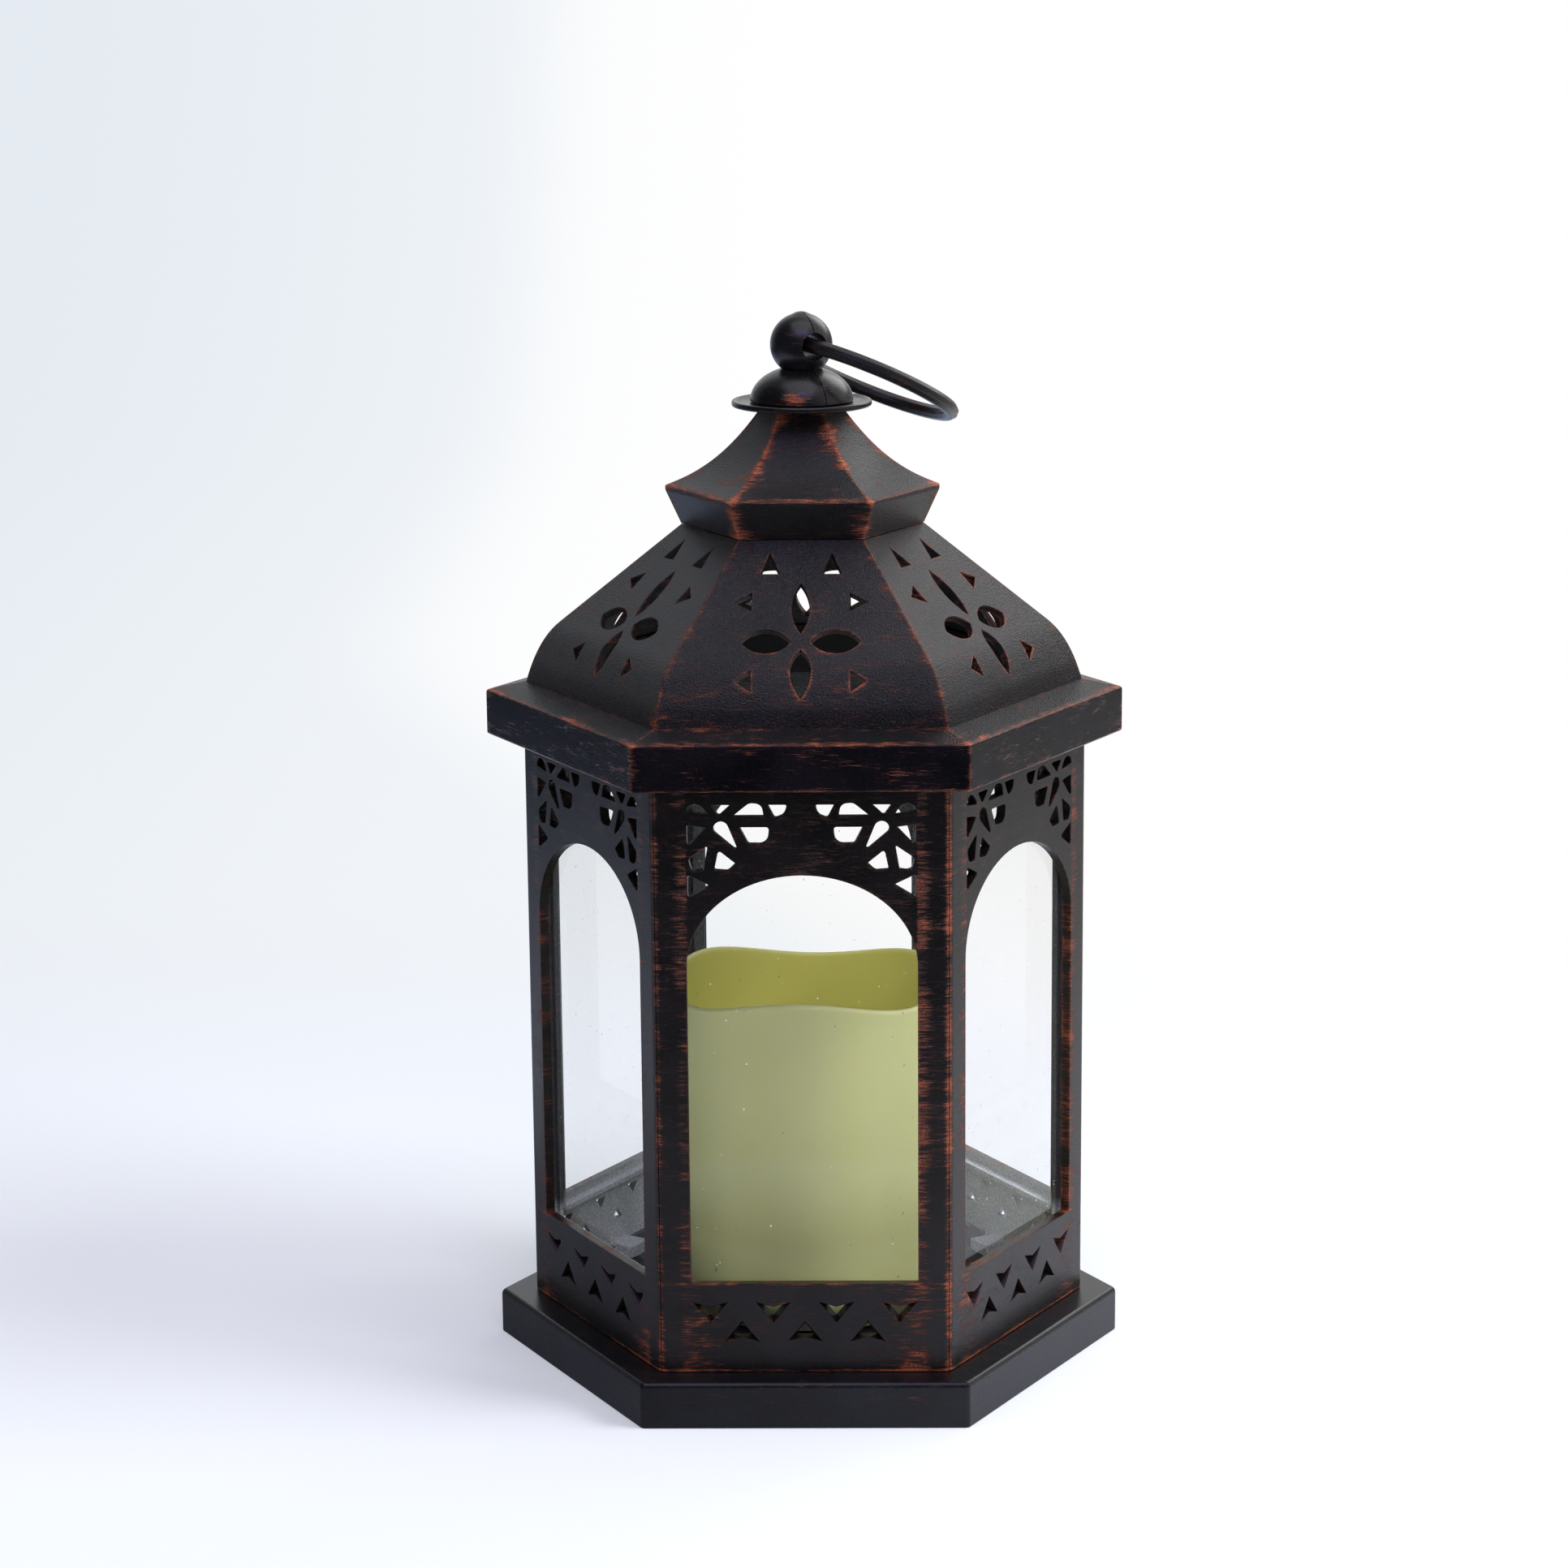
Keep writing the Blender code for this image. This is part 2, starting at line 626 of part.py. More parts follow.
def make_plinth(material):
    """Hollow hexagonal base with a locating lip, stiffening ribs and a round mouth."""
    edge = PLINTH_EDGE
    soft = edge * (1 - math.sqrt(0.5))
    wall = PLINTH_WALL / COS30
    profile = [(0, PLINTH_HEIGHT), (PLINTH_RADIUS - edge, PLINTH_HEIGHT),
               (PLINTH_RADIUS - soft, PLINTH_HEIGHT - soft), (PLINTH_RADIUS, PLINTH_HEIGHT - edge),
               (PLINTH_RADIUS, 0), (PLINTH_RADIUS - wall, 0), (PLINTH_RADIUS - wall, PLATE_UNDER),
               (0, PLATE_UNDER)]
    bm = bmesh.new()
    add_turned(bm, profile, SIDES)
    plinth = add_object("base_plinth", bm, material)

    extra = bmesh.new()
    lip_outer = (INNER_APOTHEM - GAP) / COS30
    lip_inner = lip_outer - LIP_WALL / COS30
    add_turned(extra, [(lip_outer, PLINTH_HEIGHT - EMBED), (lip_outer, PLINTH_HEIGHT + LIP_HEIGHT),
                       (lip_inner, PLINTH_HEIGHT + LIP_HEIGHT), (lip_inner, PLINTH_HEIGHT - EMBED)],
               SIDES, closed=True)
    join(plinth, extra)

    ribs = bmesh.new()
    for k in range(SIDES):
        rib = bmesh.new()
        add_box(rib, (FLANGE_RADIUS + 2 * GAP, -PLINTH_RIB / 2, PLINTH_RIB_LIFT),
                (PLINTH_RADIUS - PLINTH_WALL, PLINTH_RIB / 2, PLATE_UNDER + EMBED))
        bmesh.ops.rotate(rib, verts=rib.verts, matrix=Matrix.Rotation(math.radians(60 * k), 3, "Z"))
        pour(rib, ribs)
    join(plinth, ribs)

    notches = bmesh.new()
    holes = bmesh.new()
    for k in range(SIDES):
        turn = Matrix.Rotation(math.radians(60 * k), 3, "Z")
        notch = bmesh.new()
        add_box(notch, (-TAB_WIDTH / 2 - GAP, -INNER_APOTHEM - CUT_OVER, PLINTH_HEIGHT),
                (TAB_WIDTH / 2 + GAP, TAB_DEPTH - INNER_APOTHEM, PLINTH_HEIGHT + LIP_HEIGHT + CUT_OVER))
        bmesh.ops.rotate(notch, verts=notch.verts, matrix=turn)
        pour(notch, notches)
        add_cylinder(holes, turn @ Vector((0, -TAB_APOTHEM, 0)), SCREW_SHANK + GAP,
                     PLATE_UNDER - CUT_OVER, PLINTH_HEIGHT + CUT_OVER, 8)
    cut(plinth, notches)
    add_cylinder(holes, (0, 0, 0), PLINTH_BORE, PLATE_UNDER - CUT_OVER, PLINTH_HEIGHT + CUT_OVER,
                 ROUND)
    for k in range(3):
        add_cylinder(holes, candle_screw_place(k), SCREW_SHANK + GAP, PLATE_UNDER - CUT_OVER,
                     PLINTH_HEIGHT - PLINTH_PLATE / 5, 8)
    cut(plinth, holes)
    return plinth


def pour(source, target):
    """Move everything in one bmesh into another."""
    mesh = bpy.data.meshes.new("pour")
    source.to_mesh(mesh)
    source.free()
    target.from_mesh(mesh)
    bpy.data.meshes.remove(mesh)


def candle_screw_place(k):
    """Centre of one of the three candle screws, at the level of the origin."""
    angle = math.radians(90 + 120 * k)
    return Vector((CANDLE_SCREW_RADIUS * math.cos(angle), CANDLE_SCREW_RADIUS * math.sin(angle), 0))


def make_screws(prefix, centres, head_seat, length, material):
    """Pan-head screws that point up, one at each centre, with their heads under a seat."""
    profile = [(0, -SCREW_HEAD_DEPTH), (SCREW_HEAD * 0.75, -SCREW_HEAD_DEPTH),
               (SCREW_HEAD, -SCREW_HEAD_DEPTH / 2), (SCREW_HEAD, 0), (SCREW_SHANK, 0),
               (SCREW_SHANK, length * 0.85), (0, length)]
    bm = bmesh.new()
    add_turned(bm, profile, SCREW_SIDES)
    screws = [add_object(prefix + "_1", bm, material, smooth=True)]
    for i in range(1, len(centres)):
        screw = bpy.data.objects.new("%s_%d" % (prefix, i + 1), screws[0].data)
        bpy.context.scene.collection.objects.link(screw)
        screws.append(screw)
    for screw, centre in zip(screws, centres):
        screw.location = centre + Vector((0, 0, head_seat - GAP))
    return screws


def make_base_screws(material):
    """Six screws through the plinth into the feet of the panels."""
    centres = [Matrix.Rotation(math.radians(60 * k), 3, "Z") @ Vector((0, -TAB_APOTHEM, 0))
               for k in range(SIDES)]
    return make_screws("base_screw", centres, PLATE_UNDER, SCREW_LENGTH - GAP, material)


def skirt_curve():
    """Outline of the roof above the eave: a rounded knee, then the straight slope."""
    foot = (SKIRT_FOOT_RADIUS, SKIRT_FOOT_Z)
    knee = (SKIRT_KNEE_RADIUS, KNEE_Z)
    top = (ROOF_TOP_RADIUS, ROOF_TOP_Z)
    slope = math.degrees(math.atan2(top[1] - knee[1], top[0] - knee[0]))
    span = math.dist(foot, knee)
    first = step_from(foot, 180 - SKIRT_FOOT_ANGLE, span / 3)
    second = step_from(knee, slope + 180, span / 3)
    return bezier(foot, first, second, knee, 7) + [top]


def slope_place():
    """Placing rule on the front roof face: across, up the slope from its knee, and out of it."""
    knee = Vector((0, -SKIRT_KNEE_RADIUS * COS30, KNEE_Z))
    top = Vector((0, -ROOF_TOP_RADIUS * COS30, ROOF_TOP_Z))
    up = (top - knee).normalized()
    out = Vector((1, 0, 0)).cross(up)
    return lambda u, v, depth: knee + Vector((u, 0, 0)) + up * v + out * depth


def petal(centre, length, width, upright_petal):
    """Pointed leaf between two arcs."""
    steps = 5
    radius = (length ** 2 + width ** 2) / (4 * width)
    reach = math.asin(length / 2 / radius)
    side = []
    for i in range(steps + 1):
        angle = -reach + 2 * reach * i / steps
        side.append((radius * math.sin(angle), radius * math.cos(angle) - radius + width / 2))
    outline = side + [(u, -v) for u, v in side[-2:0:-1]]
    if upright_petal:
        outline = [(v, u) for u, v in outline]
    return [(centre[0] + u, centre[1] + v) for u, v in outline]


def roof_holes():
    """Flower, darts and crests of one roof face, as outlines on its slope."""
    middle = FLOWER_HEIGHT
    holes = [petal((0, middle + PETAL_GAP + PETAL_TOP_LENGTH / 2), PETAL_TOP_LENGTH,
                   PETAL_TOP_WIDTH, True),
             petal((0, middle - PETAL_GAP - PETAL_FOOT_LENGTH / 2), PETAL_FOOT_LENGTH,
                   PETAL_FOOT_WIDTH, True)]
    for side in (-1, 1):
        holes.append(petal((side * (PETAL_GAP + PETAL_SIDE_LENGTH / 2), middle),
                           PETAL_SIDE_LENGTH, PETAL_SIDE_WIDTH, False))
        for rise in (DART_UPPER_RISE, -DART_LOWER_DROP):
            v = middle + rise
            holes.append([(side * DART_SPREAD, v - DART_WIDTH / 2),
                          (side * (DART_SPREAD + DART_LENGTH), v),
                          (side * DART_SPREAD, v + DART_WIDTH / 2)])
        base = middle + CREST_RISE
        holes.append([(side * CREST_SPREAD - CREST_WIDTH / 2, base),
                      (side * CREST_SPREAD + CREST_WIDTH / 2, base),
                      (side * CREST_SPREAD, base + CREST_HEIGHT)])
    return holes


def make_roof(material):
    """Pierced roof: fascia, eave, rounded skirt, slopes, deck and locating rib."""
    soft = EAVE_EDGE * (1 - math.sqrt(0.5))
    outline = [(EAVE_RADIUS, EAVE_Z), (EAVE_RADIUS, EAVE_TOP_Z - EAVE_EDGE),
               (EAVE_RADIUS - soft, EAVE_TOP_Z - soft), (EAVE_RADIUS - EAVE_EDGE, EAVE_TOP_Z)]
    outline += skirt_curve() + [(DECK_RADIUS, ROOF_TOP_Z)]
    bm = bmesh.new()
    add_turned(bm, hex_shell(outline, ROOF_WALL), SIDES, closed=True)
    roof = add_object("roof_shell", bm, material)

    rib = bmesh.new()
    outer = (INNER_APOTHEM - GAP) / COS30
    inner = outer - RIB_WALL / COS30
    root = SKIRT_FOOT_Z + 2 * ROOF_WALL
    add_turned(rib, [(outer, rib_foot()), (outer, root), (inner, root), (inner, rib_foot())],
               SIDES, closed=True)
    join(roof, rib)

    place = slope_place()
    holes = bmesh.new()
    for k in range(SIDES):
        face = bmesh.new()
        for outline in roof_holes():
            add_prism(face, outline, -5 * ROOF_WALL, 2 * ROOF_WALL, place)
        turn = Matrix.Rotation(math.radians(60 * k), 3, "Z")
        bmesh.ops.rotate(face, verts=face.verts, matrix=turn)
        pour(face, holes)
    cut(roof, holes)
    return roof


def make_cap(material):
    """Concave hexagonal cap with a flared band, a flat top and a spigot in the roof."""
    rim = (CAP_RIM_RADIUS, CAP_RIM_Z)
    top = (CAP_TOP_RADIUS, CAP_TOP_Z)
    outline = [(ROOF_TOP_RADIUS, CAP_FOOT_Z), (CAP_RIM_RADIUS, CAP_FOOT_Z + CAP_BAND_HEIGHT)]
    outline += bezier(rim, step_from(rim, 180 - CAP_FLARE_ANGLE, CAP_RISE * CAP_FLARE_PULL),
                      step_from(top, -CAP_NECK_ANGLE, CAP_RISE * CAP_NECK_PULL), top, 7)
    outline.append((0, CAP_TOP_Z))
    outer = [(r * COS30, z) for r, z in outline[:-1]]
    inner = [(a / COS30, z) for a, z in offset_inward(outer, CAP_WALL)]
    inner[-1] = (inner[-1][0], CAP_TOP_Z - CAP_WALL)
    inner = [(r, z) for r, z in inner if z <= CAP_TOP_Z - CAP_WALL + 1e-9]
    spigot = DECK_RADIUS - GAP / COS30
    foot_inner = [(spigot, CAP_FOOT_Z), (spigot, CAP_FOOT_Z - CAP_SPIGOT_DEPTH),
                  (spigot - CAP_WALL / COS30, CAP_FOOT_Z - CAP_SPIGOT_DEPTH),
                  (spigot - CAP_WALL / COS30, CAP_FOOT_Z + CAP_WALL),
                  (inner[0][0] - CAP_WALL / 2, CAP_FOOT_Z + CAP_WALL)]
    profile = outline + [(0, CAP_TOP_Z - CAP_WALL)] + inner[:0:-1] + foot_inner[::-1]
    bm = bmesh.new()
    add_turned(bm, profile, SIDES, closed=True)
    cap = add_object("roof_cap", bm, material)
    holes = bmesh.new()
    for side in (-1, 1):
        add_cylinder(holes, finial_screw_place(side), SCREW_SHANK + GAP,
                     CAP_TOP_Z - CAP_WALL - CUT_OVER, CAP_TOP_Z + CUT_OVER, 8)
    cut(cap, holes)
    return cap


def level_axis(azimuth):
    """Level direction towards the front, turned to the right by an angle in degrees."""
    angle = math.radians(azimuth)
    return Vector((math.sin(angle), -math.cos(angle), 0))


def level_side(azimuth):
    """Level direction square to the one above, on the side where the ring rests."""
    axis = level_axis(azimuth)
    return Vector((-axis.y, axis.x, 0))


def finial_screw_place(side):
    """Centre of a finial screw on one side of the split, at the level of the origin."""
    return level_side(FINIAL_AZIMUTH) * FINIAL_SCREW_OFFSET * side


def make_disc(material):
    """Thin round flange under the finial, with a raised rim."""
    top = DISC_Z + DISC_THICKNESS
    profile = [(0, DISC_Z), (DISC_RADIUS - DISC_RIM, DISC_Z), (DISC_RADIUS, DISC_Z + DISC_RIM),
               (DISC_RADIUS, top + DISC_RIM / 2), (DISC_RADIUS - DISC_RIM, top + DISC_RIM),
               (DISC_RADIUS - 3 * DISC_RIM, top), (0, top)]
    bm = bmesh.new()
    add_turned(bm, profile, ROUND)
    disc = add_object("finial_disc", bm, material, smooth=True)
    holes = bmesh.new()
    for side in (-1, 1):
        add_cylinder(holes, finial_screw_place(side), SCREW_SHANK + GAP, DISC_Z - CUT_OVER,
                     top + CUT_OVER, 8)
    cut(disc, holes)
    return disc


def make_finial(material):
    """Dome and ball in two halves, split along the hole that holds the ring."""
    profile = [(0, FINIAL_Z), (DOME_RADIUS, FINIAL_Z)]
    dome_steps = 5
    last = math.acos(NECK_RADIUS / DOME_RADIUS)
    for i in range(1, dome_steps + 1):
        angle = last * i / dome_steps
        profile.append((DOME_RADIUS * math.cos(angle), FINIAL_Z + DOME_HEIGHT * math.sin(angle)))
    ball_steps = 8
    first = -math.acos(NECK_RADIUS / BALL_RADIUS)
    for i in range(1, ball_steps):
        angle = first + (math.pi / 2 - first) * i / ball_steps
        profile.append((BALL_RADIUS * math.cos(angle), BALL_Z + BALL_RADIUS * math.sin(angle)))
    top = BALL_Z + BALL_RADIUS + BALL_NUB
    profile += [(BALL_NUB_RADIUS, top), (0, top)]
    centre = Vector((0, 0, BALL_Z))
    halves = []
    for name, side in (("finial_left", -1), ("finial_right", 1)):
        bm = bmesh.new()
        add_turned(bm, profile, FINIAL_SIDES, turn=FINIAL_AZIMUTH + 180 / FINIAL_SIDES)
        half = add_object(name, bm, material)
        bore = bmesh.new()
        reach = BALL_RADIUS + CUT_OVER
        add_cylinder(bore, centre, HOLE_RADIUS, -reach, reach, 16, level_axis(FINIAL_AZIMUTH))
        add_cylinder(bore, finial_screw_place(side), SCREW_SHANK + GAP, FINIAL_Z - CUT_OVER,
                     FINIAL_Z + FINIAL_SCREW_DEPTH + GAP, 8)
        cut(half, bore)
        across = level_side(FINIAL_AZIMUTH) * side
        bisect(half, across * FINIAL_SEAM / 2, -across)
        half.data.shade_smooth()
        half.data.set_sharp_from_angle(angle=math.radians(35))
        halves.append(half)
    return halves


def make_finial_screws(material):
    """Two screws up through the cap and the disc into the finial halves."""
    seat = CAP_TOP_Z - CAP_WALL
    reach = FINIAL_Z + FINIAL_SCREW_DEPTH - seat
    centres = [finial_screw_place(side) for side in (-1, 1)]
    return make_screws("finial_screw", centres, seat, reach, material)


def make_carry_ring(material):
    """Round ring of facetted wire through the ball, hung to one side."""
    droop = math.radians(RING_DROOP)
    axis = level_axis(RING_AZIMUTH)
    hang = level_side(RING_AZIMUTH) * math.cos(droop) - Vector((0, 0, math.sin(droop)))
    normal = axis.cross(hang)
    steps = ROUND
    wire_sides = 8
    bm = bmesh.new()
    loops = []
    for i in range(steps):
        angle = math.tau * i / steps
        outward = axis * math.cos(angle) + hang * math.sin(angle)
        centre = hang * (RING_RADIUS - RING_OFFSET) + outward * RING_RADIUS
        loop = []
        for u, v in circle(RING_WIRE / math.cos(math.pi / wire_sides), wire_sides):
            turned = Matrix.Rotation(math.pi / wire_sides, 2) @ Vector((u, v))
            loop.append(bm.verts.new(centre + outward * turned.x + normal * turned.y))
        loops.append(loop)
    for i in range(steps):
        low, high = loops[i - 1], loops[i]
        for j in range(wire_sides):
            bm.faces.new((low[j - 1], low[j], high[j], high[j - 1]))
    ring = add_object("carry_ring", bm, material)
    ring.data.shade_smooth()
    ring.data.set_sharp_from_angle(angle=math.radians(30))
    ring.location = (0, 0, BALL_Z)
    return ring


def make_candle_shell(material):
    """Hollow pillar with a waved rim, a well and a hole for the lamp."""
    inner_rim = CANDLE_RADIUS - CANDLE_RIM
    well_radius = CANDLE_RADIUS - CANDLE_RIM - CANDLE_WALL / 2
    top = CANDLE_FOOT_Z + CANDLE_HEIGHT
    lamp_hole = LED_RADIUS + GAP
    edge = CANDLE_RIM / 2
    profile = [(CANDLE_RADIUS - CANDLE_RIM / 4, CANDLE_FOOT_Z),
               (CANDLE_RADIUS, CANDLE_FOOT_Z + CANDLE_RIM / 4),
               (CANDLE_RADIUS, top - WELL_DEPTH / 2), (CANDLE_RADIUS, top - edge),
               (CANDLE_RADIUS - edge, top), (inner_rim, top - edge),
               (inner_rim - CANDLE_WALL / 4, top - WELL_DEPTH / 2),
               (well_radius, WELL_FLOOR_Z + CANDLE_WALL), (well_radius - CANDLE_WALL, WELL_FLOOR_Z),
               (lamp_hole, WELL_FLOOR_Z), (lamp_hole, WELL_FLOOR_Z - WELL_FLOOR),
               (CANDLE_BORE - CANDLE_WALL, WELL_FLOOR_Z - WELL_FLOOR),
               (CANDLE_BORE, WELL_FLOOR_Z - WELL_FLOOR - CANDLE_WALL), (CANDLE_BORE, CANDLE_FOOT_Z)]
    bm = bmesh.new()
    add_turned(bm, profile, ROUND, closed=True)
    start = top - WELL_DEPTH / 2
    for vert in bm.verts:
        if vert.co.z > start + EMBED:
            wave = math.sin(RIM_WAVES * math.atan2(vert.co.y, vert.co.x) + math.radians(RIM_TURN))
            vert.co.z += RIM_WAVE * wave * (vert.co.z - start) / (top - start)
    return add_object("candle_shell", bm, material, smooth=True)


def bay_box(grow, low, high):
    """Corners of the battery bay's inside, grown on its four sides."""
    half_x = BAY_LENGTH / 2 + grow
    half_y = BAY_WIDTH / 2 + grow
    return (-half_x, -half_y, low), (half_x, half_y, high)


def door_axis():
    """A point on the battery door's hinge line, at the middle of its length."""
    return Vector((0, -BAY_WIDTH / 2 + GAP + DOOR_THICKNESS / 2, DOOR_UNDER + DOOR_THICKNESS / 2))


def make_candle_base(material):
    """Screwed flange with the candle's spigot, the battery bay and the switch collar."""
    spigot_inner = SPIGOT_RADIUS - SPIGOT_WALL
    spigot_top = FLANGE_TOP + SPIGOT_HEIGHT
    profile = [(0, FLANGE_UNDER), (FLANGE_RADIUS, FLANGE_UNDER), (FLANGE_RADIUS, FLANGE_TOP),
               (SPIGOT_RADIUS, FLANGE_TOP), (SPIGOT_RADIUS, spigot_top), (spigot_inner, spigot_top),
               (spigot_inner, FLANGE_TOP), (0, FLANGE_TOP)]
    bm = bmesh.new()
    add_turned(bm, profile, ROUND)
    base = add_object("candle_base", bm, material)

    solids = bmesh.new()
    add_box(solids, *bay_box(BAY_WALL, BAY_LIFT, BAY_CEILING + BAY_WALL))
    reach_x = SWITCH_LENGTH / 2 + GAP + COLLAR_WALL
    reach_y = SWITCH_WIDTH / 2 + GAP + COLLAR_WALL
    add_box(solids, (-reach_x, SWITCH_OFFSET - reach_y, BAY_LIFT),
            (reach_x, SWITCH_OFFSET + reach_y, FLANGE_UNDER + EMBED))
    join(base, solids)

    hollow = bmesh.new()
    add_box(hollow, *bay_box(0, BAY_LIFT - CUT_OVER, BAY_CEILING))
    reach_x -= COLLAR_WALL
    reach_y -= COLLAR_WALL
    add_box(hollow, (-reach_x, SWITCH_OFFSET - reach_y, BAY_LIFT - CUT_OVER),
            (reach_x, SWITCH_OFFSET + reach_y, FLANGE_UNDER))
    for k in range(3):
        add_cylinder(hollow, candle_screw_place(k), SCREW_SHANK + GAP, FLANGE_UNDER - CUT_OVER,
                     FLANGE_TOP + CUT_OVER, 8)
    cut(base, hollow)
    sockets = bmesh.new()
    for side in (-1, 1):
        add_cylinder(sockets, door_axis() + Vector((side * BAY_LENGTH / 2, 0, 0)),
                     DOOR_PIN_RADIUS + GAP, -BAY_WALL * 0.75, BAY_WALL * 0.75, 8, (1, 0, 0))
    cut(base, sockets)

    walls = bmesh.new()
    rib = BATTERY_PITCH - 2 * BATTERY_RADIUS - 2 * GAP
    for side in (-1, 1):
        y = side * BATTERY_PITCH / 2
        add_box(walls, (-BATTERY_LENGTH / 2, y - rib / 2, BATTERY_Z),
                (BATTERY_LENGTH / 2, y + rib / 2, BAY_CEILING + EMBED))
    join(base, walls)
    return base


def make_candle_screws(material):
    """Three short screws that hold the candle's flange under the plinth."""
    centres = [candle_screw_place(k) for k in range(3)]
    length = FLANGE_THICKNESS + PLINTH_PLATE * 0.7
    return make_screws("candle_screw", centres, FLANGE_UNDER, length, material)


def make_batteries(material):
    """Three cells side by side, each turned end for end from its neighbour."""
    body = BATTERY_LENGTH - BATTERY_NUB_LENGTH
    edge = BATTERY_RADIUS / 10
    profile = [(0, 0), (BATTERY_RADIUS - edge, 0), (BATTERY_RADIUS, edge),
               (BATTERY_RADIUS, body - edge),
               (BATTERY_RADIUS - edge, body), (BATTERY_NUB, body), (BATTERY_NUB, BATTERY_LENGTH),
               (0, BATTERY_LENGTH)]
    cells = []
    for i in range(3):
        bm = bmesh.new()
        add_turned(bm, profile, 16)
        cell = add_object("battery_%d" % (i + 1), bm, material, smooth=True)
        heading = 1 if i % 2 == 0 else -1
        cell.rotation_euler.y = math.radians(90 * heading)
        cell.location = (-heading * BATTERY_LENGTH / 2, (i - 1) * BATTERY_PITCH, BATTERY_Z)
        cells.append(cell)
    return cells


def make_contacts(material):
    """A dimpled plate at each positive end and a sprung leaf at each negative end."""
    half = BATTERY_RADIUS * 0.8
    wall = BAY_LENGTH / 2 - GAP
    back = wall - CONTACT_THICKNESS
    tip = BATTERY_LENGTH / 2 + GAP
    plate = [(wall, -half), (wall, half), (back, half), (back, half * 0.5), (tip, half * 0.3),
             (tip, -half * 0.3), (back, -half * 0.5), (back, -half)]
    leaf = [(wall, -half), (wall, half), (back - CONTACT_THICKNESS, half), (tip, half * 0.1),
            (tip, -half * 0.4), (tip + CONTACT_THICKNESS, -half * 0.4),
            (tip + CONTACT_THICKNESS, 0), (back, half * 0.8), (back, -half)]
    contacts = []
    for i in range(3):
        for side in (-1, 1):
            positive = (side > 0) == (i % 2 == 0)
            outline = plate if positive else leaf
            bm = bmesh.new()
            add_prism(bm, [(side * u, v) for u, v in outline], -half, half,
                      lambda u, v, depth: Vector((u, depth, v)))
            contact = add_object("battery_contact_%d" % (len(contacts) + 1), bm, material)
            contact.location = (0, (i - 1) * BATTERY_PITCH, BATTERY_Z)
            contacts.append(contact)
    return contacts


def make_battery_door(material):
    """Flat hinged door with a rolled hinge edge, two pins, ribs and a finger lip."""
    axis = door_axis()
    radius = DOOR_THICKNESS / 2
    far = BAY_WIDTH - 2 * GAP - radius
    half = BAY_LENGTH / 2 - GAP
    outline = [(0, -radius), (far - radius / 2, -radius), (far, -radius / 2), (far, radius), (0, radius)]
    outline += [(-radius * math.sin(a), radius * math.cos(a)) for a in
                (math.pi * k / 6 for k in range(1, 6))]
    bm = bmesh.new()
    add_prism(bm, outline, -half, half, lambda u, v, depth: Vector((depth, u, v)))
    door = add_object("battery_door", bm, material)
    extra = bmesh.new()
    for side in (-1, 1):
        add_cylinder(extra, Vector((side * half, 0, 0)), DOOR_PIN_RADIUS, -BAY_WALL / 2,
                     BAY_WALL / 2 + GAP, 8, (1, 0, 0))
        add_box(extra, (side * half / 2 - radius / 2, 3 * radius, radius - EMBED),
                (side * half / 2 + radius / 2, far - 3 * radius, radius + 2 * GAP))
    join(door, extra)
    grip = bmesh.new()
    add_box(grip, (-half / 5, far - 2 * radius, -radius - CUT_OVER), (half / 5, far + CUT_OVER, -radius / 3))
    cut(door, grip)
    door.location = axis
    return door


def make_switch(case_material, knob_material):
    """Slide switch under the flange: a slotted case and the knob that travels in it."""
    top = FLANGE_UNDER - GAP
    under = top - SWITCH_DEPTH
    bm = bmesh.new()
    add_box(bm, (-SWITCH_LENGTH / 2, SWITCH_OFFSET - SWITCH_WIDTH / 2, under),
            (SWITCH_LENGTH / 2, SWITCH_OFFSET + SWITCH_WIDTH / 2, top))
    case = add_object("switch_body", bm, case_material)
    slot = bmesh.new()
    run = (SWITCH_TRAVEL + KNOB_LENGTH) / 2 + GAP
    depth = SWITCH_DEPTH / 2
    add_box(slot, (-run, SWITCH_OFFSET - KNOB_WIDTH / 2 - GAP, under - CUT_OVER),
            (run, SWITCH_OFFSET + KNOB_WIDTH / 2 + GAP, under + depth))
    cut(case, slot)
    bm = bmesh.new()
    seat = depth - GAP
    notch = KNOB_LENGTH / 5
    half = KNOB_LENGTH / 2
    low = -(KNOB_HEIGHT - seat)
    outline = [(-half, seat), (-half, low), (-notch, low), (0, low + notch), (notch, low),
               (half, low), (half, seat)]
    add_prism(bm, outline, -KNOB_WIDTH / 2, KNOB_WIDTH / 2, lambda u, v, w: Vector((u, w, v)))
    knob = add_object("switch_knob", bm, knob_material)
    knob.location = (-SWITCH_TRAVEL / 2, SWITCH_OFFSET, under)
    return case, knob


